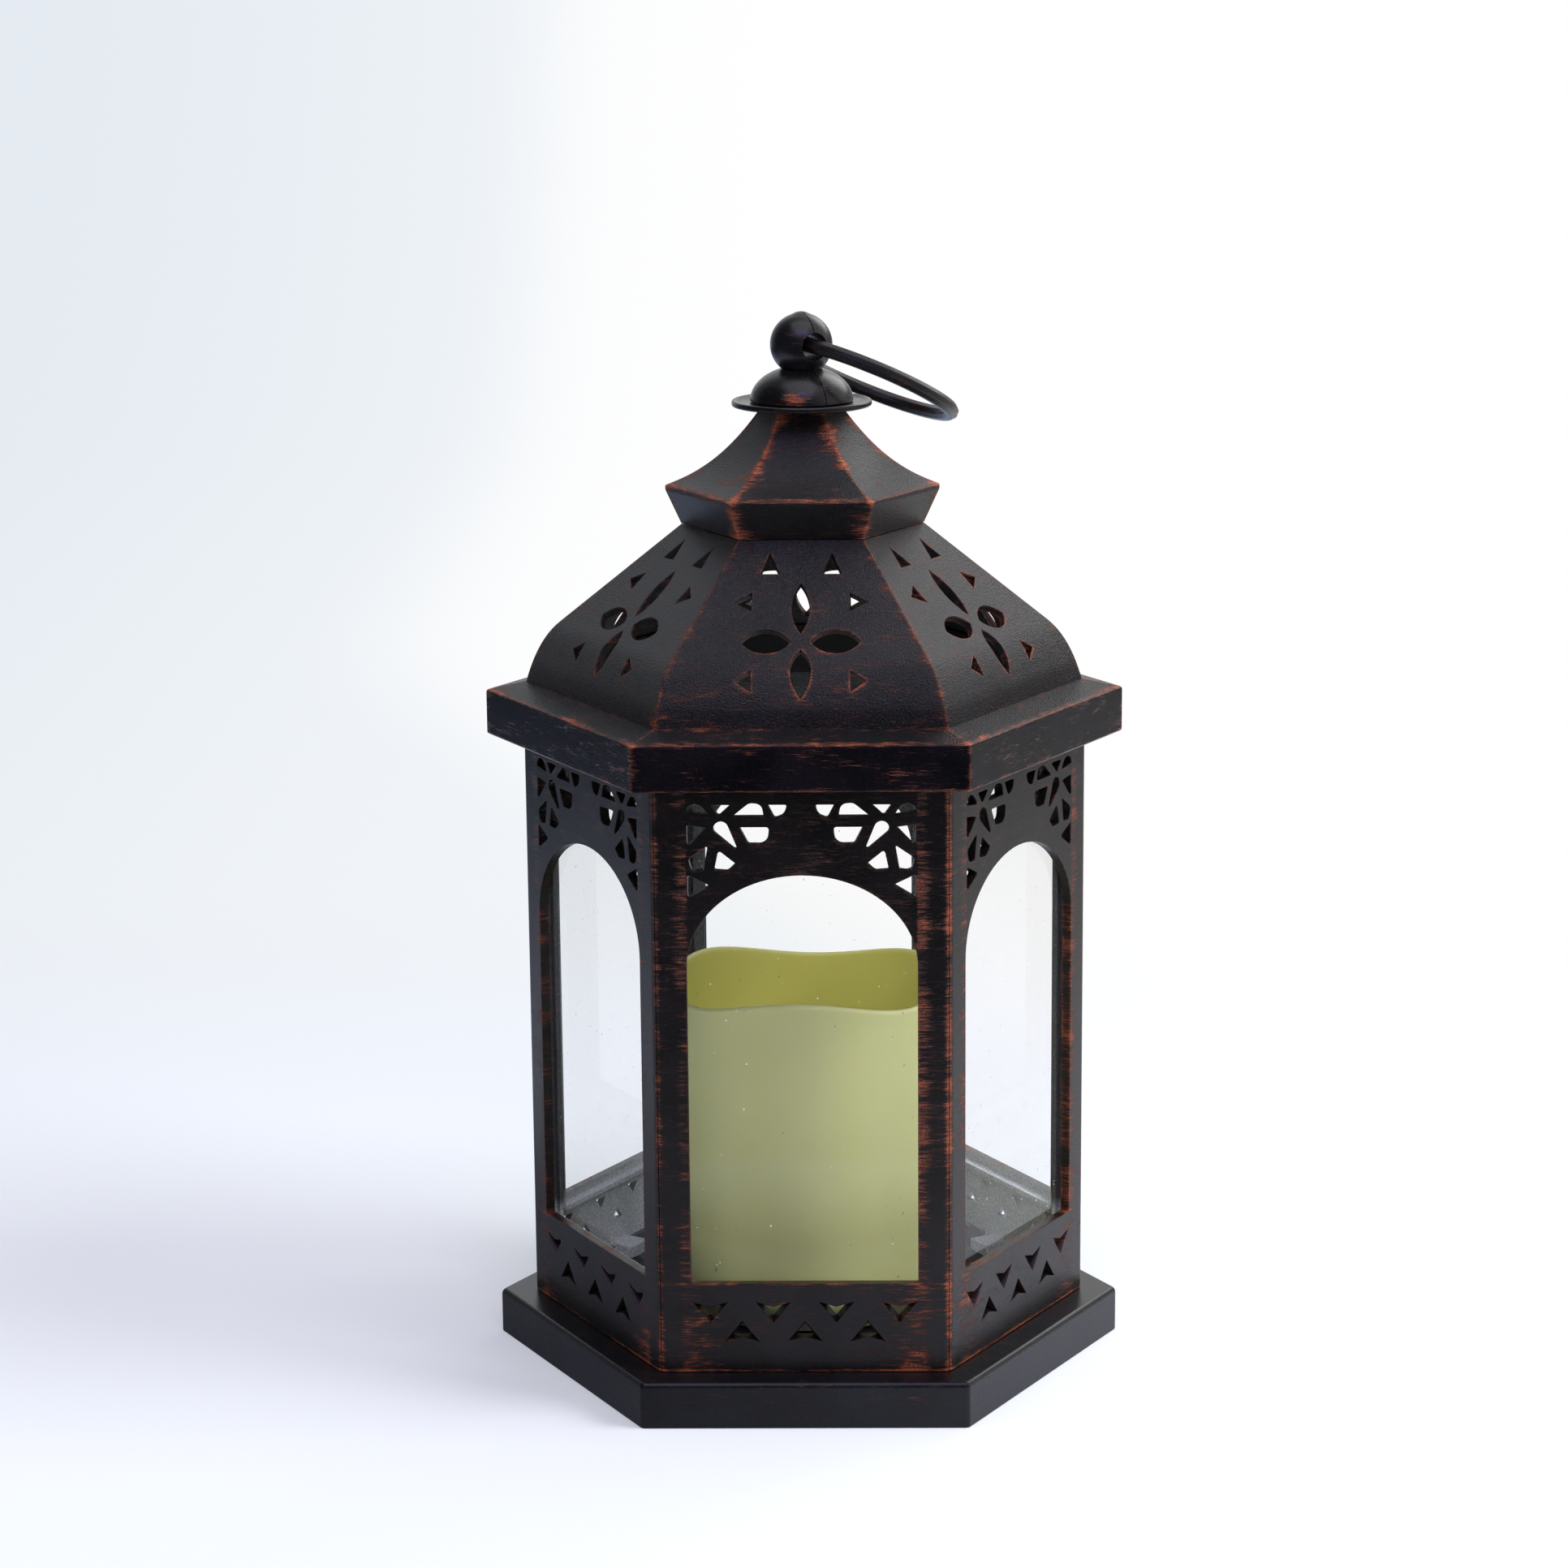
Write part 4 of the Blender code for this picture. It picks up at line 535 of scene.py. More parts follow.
PLINTH_BLACK = RubbedPlastic(
    "plinth_black", black=(0.0036, 0.0036, 0.0048), sheen=(0.0058, 0.0058, 0.0075), roughness=0.31,
    gloss=0.34, edges=0.03, scratches=0.25, grain=0.12,
    spots=(((0.0330, -0.0800, 0.0070), 0.012, 0.08), ((0.0200, -0.0800, 0.0100), 0.006, 0.05),
           ((-0.0880, -0.0100, 0.0060), 0.008, 0.07)))
# painted light below the sill, painted shade higher up
INTERIOR = SparkedPlastic("interior_grey", low=2.9, high=0.36)
INTERIOR_DARK = SparkedPlastic("interior_dark", (0.004, 0.004, 0.0045))
GLASS = ClearGlass("glass")
WAX = CreamWax("wax")
STEEL = Metal("steel")
CONTACT = Metal("contact", (0.62, 0.60, 0.52), 0.22)
INNER_BLACK = MouldedPlastic("inner_black", (0.014, 0.014, 0.015), 0.45, 0.3)
JACKET = BatteryJacket("jacket")
BOARD = CircuitBoard("board")
LAMP = LampResin("lamp")
SLEEVE = MouldedPlastic("sleeve", (0.36, 0.018, 0.018), 0.42, 0.2)
KNOB_GREY = MouldedPlastic("knob_grey", (0.10, 0.10, 0.11), 0.45, 0.3)


def hexagon(radius: float, height: float, fillet: float, steps: int) -> list[Vector]:
    """Level hexagon with rounded corners.

    Args:
        radius: distance of the sharp corner from the axis.
        height: level of the ring.
        fillet: radius of each corner.
        steps: segments in each corner.

    Returns:
        The points, anticlockwise from the corner on +X.
    """
    points = []
    for k in range(SIDES):
        middle = math.radians(60 * k)
        reach = radius - fillet / COS30
        centre = Vector((reach * math.cos(middle), reach * math.sin(middle), height))
        for i in range(steps + 1):
            angle = middle + math.radians(60) * (i / steps - 0.5)
            points.append(centre + Vector((math.cos(angle), math.sin(angle), 0)) * fillet)
    return points


def rounded(centre: Point, radius: float, start: float, end: float, steps: int,
            rise: float | None = None) -> Outline:
    """Arc between two angles in degrees, of an ellipse where its rise is given."""
    angles = [math.radians(start + (end - start) * i / steps) for i in range(steps + 1)]
    rise = radius if rise is None else rise
    return [(centre[0] + radius * math.cos(a), centre[1] + rise * math.sin(a)) for a in angles]


def step_from(point: Point, angle: float, length: float) -> Point:
    """The point at a length along an angle, in degrees up from outward."""
    return rounded(point, length, angle, angle, 1)[0]


def bezier(start: Point, first: Point, second: Point, end: Point, steps: int) -> Outline:
    """Points on a cubic curve, both ends included."""
    points = []
    for t in (i / steps for i in range(steps + 1)):
        weights = ((1 - t) ** 3, 3 * t * (1 - t) ** 2, 3 * t * t * (1 - t), t ** 3)
        points.append(tuple(sum(w * p[axis] for w, p in zip(weights, (start, first, second, end)))
                            for axis in (0, 1)))
    return points


def expand(outline: Outline, distance: float) -> Outline:
    """Closed outline moved outward, mitred with a limit."""
    area = sum(a[0] * b[1] - b[0] * a[1] for a, b in zip(outline, outline[1:] + outline[:1]))
    sign = 1.0 if area > 0 else -1.0
    moved = []
    for i, point in enumerate(outline):
        before = (Vector(point) - Vector(outline[i - 1])).normalized()
        after = (Vector(outline[(i + 1) % len(outline)]) - Vector(point)).normalized()
        first = Vector((before.y, -before.x)) * sign
        second = Vector((after.y, -after.x)) * sign
        mean = (first + second).normalized()
        moved.append(tuple(Vector(point) + mean * distance / max(mean.dot(first), 0.45)))
    return moved


def offset_inward(points: Outline, distance: float) -> Outline:
    """Mitred offset of an open line, to its left."""
    moved = []
    for i, point in enumerate(points):
        ends = [points[j:j + 2] for j in (i - 1, i) if 0 <= j < len(points) - 1]
        ways = [Vector(b) - Vector(a) for a, b in ends]
        normals = [Vector((-way.y, way.x)).normalized() for way in ways]
        mean = sum(normals, Vector((0, 0))).normalized()
        moved.append(tuple(Vector(point) + mean * distance / mean.dot(normals[0])))
    return moved


def hollowed(line: Outline, wall: float) -> Outline:
    """Inner line of a hexagonal shell, whose wall is measured square to its faces."""
    return [(a / COS30, z) for a, z in offset_inward([(r * COS30, z) for r, z in line], wall)]


def skin(rings: Sequence[Sequence[Vector]], closed: bool = False, bm: BMesh | None = None) -> BMesh:
    """Skin rings of points; a closed skin returns to its first ring, an open one is capped."""
    bm = bmesh.new() if bm is None else bm
    loops = [[bm.verts.new(point) for point in ring] for ring in rings]
    count = len(loops[0])
    for low, high in zip(loops, loops[1:] + (loops[:1] if closed else [])):
        for i in range(count):
            j = (i + 1) % count
            bm.faces.new((low[i], low[j], high[j], high[i]))
    if not closed:
        bm.faces.new(loops[0][::-1])
        bm.faces.new(loops[-1])
    return bm


def level(u: float, v: float, height: float) -> Vector:
    """Point of an outline that lies level."""
    return Vector((u, v, height))


def prism(layers: Sequence[tuple[Outline, float]], place: Place, bm: BMesh | None = None) -> BMesh:
    """Closed body through flat outlines, each at its own depth."""
    return skin([[place(u, v, depth) for u, v in outline] for outline, depth in layers], bm=bm)


def box(low: Sequence[float], high: Sequence[float], bm: BMesh | None = None) -> BMesh:
    """Closed box between two corners."""
    outline = [(low[0], low[1]), (high[0], low[1]), (high[0], high[1]), (low[0], high[1])]
    return prism([(outline, low[2]), (outline, high[2])], level, bm)


def spun(profile: Outline, sides: int, closed: bool = False, turn: float = 0.0) -> BMesh:
    """Turn a profile of (radius, height) points about the Z axis, from an angle in degrees."""
    bm = bmesh.new()
    start = math.radians(turn)
    verts = [bm.verts.new((r * math.cos(start), r * math.sin(start), z)) for r, z in profile]
    edges = [bm.edges.new(pair) for pair in zip(verts, verts[1:] + (verts[:1] if closed else []))]
    bmesh.ops.spin(bm, geom=verts + edges, cent=(0, 0, 0), axis=(0, 0, 1), angle=math.tau,
                   steps=sides, use_merge=True)
    bmesh.ops.remove_doubles(bm, verts=bm.verts, dist=MERGE)
    return bm


def add_rod(bm: BMesh, centre: Vector, direction: Vector, radii: Outline, sides: int) -> None:
    """Turned rod along a direction through (distance, radius) stations."""
    tilt = UP.rotation_difference(direction).to_matrix()
    turns = [math.tau * i / sides for i in range(sides)]
    skin([[centre + tilt @ Vector((radius * math.cos(a), radius * math.sin(a), distance)) for a in turns]
          for distance, radius in radii], bm=bm)


def add_bore(bm: BMesh, centre: Vector, low: float, high: float, radius: float, sides: int = 20,
             blind: bool = False) -> None:
    """Upright round cutter through two levels; a blind one ends at the upper."""
    add_rod(bm, centre, UP, [(low - PAST, radius), (high + (0 if blind else PAST), radius)], sides)


def pour(source: BMesh, target: BMesh) -> None:
    """Move everything in one bmesh into another."""
    mesh = bpy.data.meshes.new("pour")
    source.to_mesh(mesh)
    source.free()
    target.from_mesh(mesh)
    bpy.data.meshes.remove(mesh)


def around(make: Callable[[], BMesh]) -> BMesh:
    """Six copies of what a function makes for the front, one turned to each face."""
    every = bmesh.new()
    for k in range(SIDES):
        bm = make()
        bmesh.ops.rotate(bm, verts=bm.verts, matrix=Matrix.Rotation(math.radians(60 * k), 3, "Z"))
        pour(bm, every)
    return every


def looks_in(polygon: bpy.types.MeshPolygon) -> bool:
    """Whether a face looks in or down under its shell."""
    away = Vector((polygon.center.x, polygon.center.y, 0)).normalized()
    return polygon.normal.dot(away) < 0.1 and polygon.normal.z < 0.1


def in_scene(name: str, data: bpy.types.ID) -> bpy.types.Object:
    """New object of the scene for a mesh, lamp or camera."""
    obj = bpy.data.objects.new(name, data)
    bpy.context.scene.collection.objects.link(obj)
    return obj


class Piece:
    """One shown object: its mesh is worked on, dressed and then mounted on a body."""

    def __init__(self, name: str, bm: BMesh) -> None:
        """Turn a bmesh into an object with outward faces."""
        bmesh.ops.remove_doubles(bm, verts=bm.verts, dist=MERGE)
        self.obj = in_scene(name, bpy.data.meshes.new(name))
        self.take(bm)

    def take(self, bm: BMesh, outward: bool = True) -> "Piece":
        """Use a bmesh as the piece's mesh."""
        if outward:
            bmesh.ops.recalc_face_normals(bm, faces=bm.faces)
        bm.to_mesh(self.obj.data)
        bm.free()
        return self

    def copy(self) -> BMesh:
        """The piece's mesh as a new bmesh."""
        bm = bmesh.new()
        bm.from_mesh(self.obj.data)
        return bm

    def remove(self) -> None:
        """Take the object out of the scene."""
        bpy.data.objects.remove(self.obj, do_unlink=True)

    def combine(self, bm: BMesh, operation: str) -> "Piece":
        """Exact Boolean with the closed bodies of a bmesh."""
        tool = Piece(self.obj.name + "_tool", bm)
        modifier = self.obj.modifiers.new("work", "BOOLEAN")
        modifier.operation, modifier.solver, modifier.object = operation, "EXACT", tool.obj
        old = self.obj.data
        evaluated = self.obj.evaluated_get(bpy.context.evaluated_depsgraph_get())
        mesh = bpy.data.meshes.new_from_object(evaluated)
        self.obj.modifiers.clear()
        self.obj.data = mesh
        bpy.data.meshes.remove(old)
        tool.remove()
        work = self.copy()
        bmesh.ops.remove_doubles(work, verts=work.verts, dist=WELD)
        bmesh.ops.dissolve_degenerate(work, edges=work.edges, dist=WELD / 2)
        return self.take(work, outward=False)

    def cut(self, bm: BMesh) -> "Piece":
        """Take bodies away."""
        return self.combine(bm, "DIFFERENCE")

    def join(self, bm: BMesh) -> "Piece":
        """Unite with bodies that are let into the piece."""
        return self.combine(bm, "UNION")

    def slice(self, point: Vector, normal: Vector) -> "Piece":
        """Keep the side that the normal points away from, closed again."""
        bm = self.copy()
        sliced = bmesh.ops.bisect_plane(bm, geom=bm.verts[:] + bm.edges[:] + bm.faces[:], dist=MERGE / 10,
                                        plane_co=point, plane_no=normal, clear_outer=True)
        rim = [item for item in sliced["geom_cut"] if isinstance(item, bmesh.types.BMEdge)]
        bmesh.ops.holes_fill(bm, edges=rim, sides=0)
        bmesh.ops.remove_doubles(bm, verts=bm.verts, dist=WELD)
        return self.take(bm)

    def add(self, bm: BMesh) -> "Piece":
        """Add bodies beside the piece's own, without uniting them."""
        work = self.copy()
        bmesh.ops.recalc_face_normals(bm, faces=bm.faces)
        pour(bm, work)
        return self.take(work, outward=False)

    def dress(self, finish: Finish, inner: Finish | None = None,
              is_inner: Callable[[bpy.types.MeshPolygon], bool] | None = None,
              angle: float = 32.0) -> "Piece":
        """Smooth the faces and give them one finish, or a second one where a test says so."""
        mesh = self.obj.data
        mesh.materials.clear()
        mesh.materials.append(finish.material())
        if inner is not None:
            mesh.materials.append(inner.material())
        for polygon in mesh.polygons:
            polygon.material_index = 1 if inner is not None and is_inner(polygon) else 0
        mesh.shade_smooth()
        mesh.set_sharp_from_angle(angle=math.radians(angle))
        weighted = self.obj.modifiers.new("Even shading", "WEIGHTED_NORMAL")
        weighted.keep_sharp = True
        weighted.mode = "FACE_AREA"
        return self

    def mount(self, body: Body, slot: Slot, *nodes: str) -> None:
        """Ride on a body in place of CAD nodes."""
        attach(self.obj, body.value)
        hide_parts(*nodes)
        LOG.info("%s: %d faces for %s", self.obj.name, len(self.obj.data.polygons), ", ".join(nodes))


@dataclass
class SidePanels:
    """Six mitred panels with an arched window, fretwork and arrowhead holes.

    A fret hole is a row of (across, down, fillet) corners, in a field that is stretched to
    the panel. A row of arrowheads is its rise, its count and which way it points.
    """

    radius: float = 0.0825
    wall: float = 0.0028
    gap: float = 0.0003
    corner_edge: float = 0.0006
    corner_facet: Point = (1.9, 1.04)
    hole_edge: float = 0.00028
    foot: float = 0.0138
    top: float = 0.197697
    rib_foot: float = 0.1895
    half_window: float = 0.0322
    sill: float = 0.0400
    spring: float = 0.1328
    arch_rise: float = 0.0263
    fret_top: float = 0.1793
    fret_middle: float = 0.0080
    fret_field: Point = (0.0303, 0.0500)
    least_fillet: float = 0.0003
    fine_fillet: float = 0.0014
    side_share: float = 0.45
    arrow_width: float = 0.0097
    arrow_height: float = 0.0060
    arrow_notch: float = 0.0014
    arrow_inner: float = 0.54
    arrow_pitch: float = 0.0179
    arrow_rows: tuple = ((0.0177, 4, -1), (0.0120, 3, 1))
    pane_back: float = 0.067047
    pane_overlap: float = 0.0020
    channel_wall: float = 0.0014
    channel_lip: float = 0.0012
    tab: tuple = (0.0090, 0.0085, 0.0034)
    fret_holes: tuple = (
        ((0.0003, 0.0024, 0), (0.0011, 0.0006, 0), (0.0028, -0.0003, 0), (0.0046, 0.0003, 0),
         (0.0059, 0.0017, 0), (0.0070, 0.0034, 0)),
        ((0.0076, 0.0001, 0), (0.0139, 0.0001, 0), (0.0101, 0.0036, 0.0006)),
        ((0.0140, 0.0037, 0), (0.0192, -0.0005, 0.0026), (0.0228, -0.0001, 0.0026), (0.0235, 0.0037, 0)),
        ((0.0246, 0.0001, 0), (0.0304, 0.0001, 0.0005), (0.0296, 0.0033, 0.0026), (0.0268, 0.0043, 0.0007)),
        ((0.0006, 0.0062, 0), (0.0064, 0.0070, 0), (0.0012, 0.0125, 0), (0.0006, 0.0119, 0)),
        ((0.0162, 0.0069, 0), (0.0250, 0.0069, 0.0008), (0.0245, 0.0122, 0.0032), (0.0189, 0.0121, 0.0008)),
        ((0.0067, 0.0125, 0), (0.0054, 0.0201, 0.0006), (0.0019, 0.0205, 0.0018), (0.0009, 0.0165, 0.0015)),
        ((0.0099, 0.0139, 0.0006), (0.0151, 0.0181, 0), (0.0127, 0.0204, 0.0016), (0.0086, 0.0201, 0.0005)),
        ((0.0006, 0.0215, 0), (0.0073, 0.0247, 0.0005), (0.0012, 0.0284, 0), (0.0006, 0.0278, 0)))
    fret_drop: tuple = ((0.0107, 0.0073), 0.0022, (0.0149, 0.0131), 0.0005)

    @property
    def face(self) -> float:
        """Distance of the outer face from the axis."""
        return self.radius * COS30

    @property
    def inner(self) -> float:
        """Distance of the inner face from the axis."""
        return self.face - self.wall

    @staticmethod
    def place(u: float, v: float, depth: float) -> Vector:
        """Point on the front panel: across, up, distance from the axis."""
        return Vector((u, -depth, v))

    def filleted(self, corners: tuple) -> Outline:
        """Outline through (u, v, radius) corners, each rounded by at least a little."""
        outline = []
        for i, (u, v, radius) in enumerate(corners):
            here = Vector((u, v))
            before = Vector(corners[i - 1][:2]) - here
            after = Vector(corners[(i + 1) % len(corners)][:2]) - here
            half = before.angle(after) / 2
            wanted = max(radius, self.least_fillet)
            reach = min(wanted / math.tan(half), before.length * self.side_share,
                        after.length * self.side_share)
            wanted = reach * math.tan(half)
            middle = (before.normalized() + after.normalized()).normalized()
            centre = here + middle * wanted / math.sin(half)
            start = here + before.normalized() * reach - centre
            end = here + after.normalized() * reach - centre
            steps = 6 if wanted > self.fine_fillet else 3
            for k in range(steps + 1):
                outline.append(tuple(centre + start.slerp(end, k / steps).normalized() * wanted))
        return outline

    def teardrop(self) -> Outline:
        """Outline round a large and a small circle."""
        head, head_radius, tip, tip_radius = self.fret_drop
        along = Vector(tip) - Vector(head)
        heading = math.degrees(math.atan2(along.y, along.x))
        flare = math.degrees(math.acos((head_radius - tip_radius) / along.length))
        return (rounded(head, head_radius, heading + flare, heading + 360 - flare, 12)
                + rounded(tip, tip_radius, heading - flare, heading + flare, 4))

    def arch(self) -> Outline:
        """Window opening: straight jambs under a half ellipse."""
        return [(-self.half_window, self.sill), (self.half_window, self.sill),
                *rounded((0, self.spring), self.half_window, 0, 180, 44, self.arch_rise)]

    def frets(self) -> list[Outline]:
        """Fretwork of both upper corners."""
        stretch = (self.half_window - self.fret_middle / 2) / self.fret_field[0]
        drop = (self.fret_top - self.spring) / self.fret_field[1]
        outlines = []
        for hole in [self.filleted(corners) for corners in self.fret_holes] + [self.teardrop()]:
            left = [(-self.half_window + u * stretch, self.fret_top - v * drop) for u, v in hole]
            outlines += [left, [(-u, v) for u, v in left[::-1]]]
        return outlines

    def arrows(self) -> list[tuple[Outline, Outline]]:
        """Arrowhead at the face and triangle at the back of each hole in the lower rail."""
        half, height, small = self.arrow_width / 2, self.arrow_height / 2, self.arrow_inner
        outer = [(-half, -height), (0, -height + self.arrow_notch), (half, -height), (0, height)]
        inner = [(x * small, y * small) for x, y in outer]
        inner[1] = (0, -height * small)
        pairs = []
        for rise, count, point in self.arrow_rows:
            for i in range(count):
                u, v = (i - (count - 1) / 2) * self.arrow_pitch, self.foot + rise
                pairs.append(tuple([(u + x, v + y * point) for x, y in ring][::point]
                                   for ring in (outer, inner)))
        return pairs

    def cutters(self) -> BMesh:
        """Everything that is cut through one panel, with softened rims."""
        bm = bmesh.new()
        edge, behind = self.hole_edge, self.inner - PAST
        for outline in [self.arch()] + self.frets():
            rim = expand(outline, edge + SKIM)
            prism([(outline, behind), (outline, self.face - edge),
                   (expand(outline, edge * 0.3), self.face - edge * 0.3),
                   (rim, self.face + SKIM), (rim, self.face + PAST)], self.place, bm)
        for outer, inner in self.arrows():
            rim = expand(outer, edge / 2 + SKIM)
            prism([(inner, behind), (inner, self.inner), (outer, self.face - edge / 2),
                   (rim, self.face + SKIM), (rim, self.face + PAST)], self.place, bm)
        return bm

    def backing(self) -> BMesh:
        """Channels for the pane, the shelf under it and the screw tab."""
        bm = bmesh.new()
        lip = self.pane_back - self.gap
        edge = self.half_window + self.pane_overlap + self.gap
        ledge = self.sill - self.pane_overlap - self.gap
        near, far = lip - self.channel_lip, self.inner + LET_IN
        low, high = ledge - self.channel_wall, self.rib_foot - self.gap
        channel = [(edge - self.pane_overlap, near), (edge + self.channel_wall, near),
                   (edge + self.channel_wall, far), (edge, far), (edge, lip), (edge - self.pane_overlap, lip)]
        for side in (-1, 1):
            outline = [(side * u, -depth) for u, depth in channel][::side]
            prism([(outline, low), (outline, high)], level, bm)
        box((self.gap - edge, -far, low), (edge - self.gap, -near, ledge), bm)
        width, depth, height = self.tab
        box((-width / 2, -self.inner - LET_IN, self.foot),
            (width / 2, -self.inner + depth, self.foot + height), bm)
        return bm

    def build(self) -> None:
        """Make the front panel and turn copies of it to the other faces."""
        half = self.radius * 0.6
        front = Piece("panel_front", box((-half, -self.face, self.foot), (half, -self.inner, self.top)))
        front.cut(self.cutters())
        for side in (-1, 1):
            mitre = Vector((side * COS30, 0.5, 0))
            front.slice(-mitre * self.gap / 2, mitre)
            corner = Vector((side * 0.5, -COS30, 0))
            front.slice(corner * (self.radius - self.corner_edge), corner)
            set_back, reach = self.corner_facet
            for turn in (-15, 15):
                soft = Matrix.Rotation(math.radians(turn), 3, "Z") @ corner
                rim = corner * (self.radius - self.corner_edge * set_back)
                front.slice(rim + soft * self.corner_edge * reach, soft)
        front.add(self.backing())
        limit = self.inner + SKIM * 2
        for k, name in enumerate(FACE_NAMES):
            piece = Piece("side_" + name, front.copy())
            piece.dress(BRONZE_PANEL, INTERIOR, lambda polygon: -polygon.center.y < limit)
            piece.obj.data.transform(Matrix.Rotation(math.radians(60 * k), 4, "Z"))
            piece.mount(Body.LANTERN, Slot.BRONZE, "side_panel_" + name)
        front.remove()


@dataclass
class Plinth:
    """Hollow hexagonal base with a rounded top edge, locating lip and ribs."""

    radius: float = 0.0928
    height: float = 0.0135
    plate: float = 0.0028
    wall: float = 0.0024
    edge: float = 0.0017
    foot_edge: float = 0.0003
    fillet: float = 0.0016
    lip_radius: float = 0.078920
    lip_height: float = 0.0030
    lip_wall: float = 0.0018
    lip_fillet: float = 0.0004
    bore: float = 0.0383
    flange_radius: float = 0.0460
    rib: float = 0.0016
    rib_lift: float = 0.0030
    rib_gap: float = 0.0006
    tab: Point = (0.0090, 0.0085)
    tab_gap: float = 0.0003
    inner_apothem: float = 0.068647
    screw_ring: float = 0.0423
    screw_apothem: float = 0.064397
    hole: float = 0.0017

    def build(self) -> None:
        """Make the shell, then its lip, ribs and holes."""
        under = self.height - self.plate
        inside = self.radius - self.wall / COS30
        rim = rounded((self.radius - self.edge, self.height - self.edge), self.edge, 90, 0, 6)
        outside = rim + [(self.radius, self.foot_edge), (self.radius - self.foot_edge, 0)]
        plinth = Piece("plinth", skin([hexagon(r, z, self.fillet, 5) for r, z in outside]
                                      + [hexagon(inside, z, self.fillet / 2, 5) for z in (0, under)]))
        lip_inner = self.lip_radius - self.lip_wall / COS30
        low, high = self.height - LET_IN, self.height + self.lip_height
        plinth.join(skin([hexagon(r, z, self.lip_fillet, 2) for r, z in (
            (self.lip_radius, low), (self.lip_radius, high), (lip_inner, high), (lip_inner, low))], True))
        plinth.join(around(lambda: box(
            (self.flange_radius + self.rib_gap, -self.rib / 2, self.rib_lift),
            (self.radius - self.wall, self.rib / 2, under + LET_IN))))
        half = self.tab[0] / 2 + self.tab_gap
        plinth.cut(around(lambda: box((-half, -self.inner_apothem - PAST, self.height),
                                      (half, self.tab[1] - self.inner_apothem, high + PAST))))
        holes = bmesh.new()
        for k in range(SIDES):
            centre = Matrix.Rotation(math.radians(60 * k), 3, "Z") @ Vector((0, -self.screw_apothem, 0))
            add_bore(holes, centre, under, self.height, self.hole)
        for angle in (math.radians(90 + 120 * k) for k in range(3)):
            centre = Vector((math.cos(angle), math.sin(angle), 0)) * self.screw_ring
            add_bore(holes, centre, under, self.height - self.plate / 5, self.hole, blind=True)
        add_bore(holes, Vector((0, 0, 0)), under, self.height, self.bore, 72)
        plinth.cut(holes).dress(PLINTH_BLACK).mount(Body.LANTERN, Slot.PLINTH, "base_plinth")


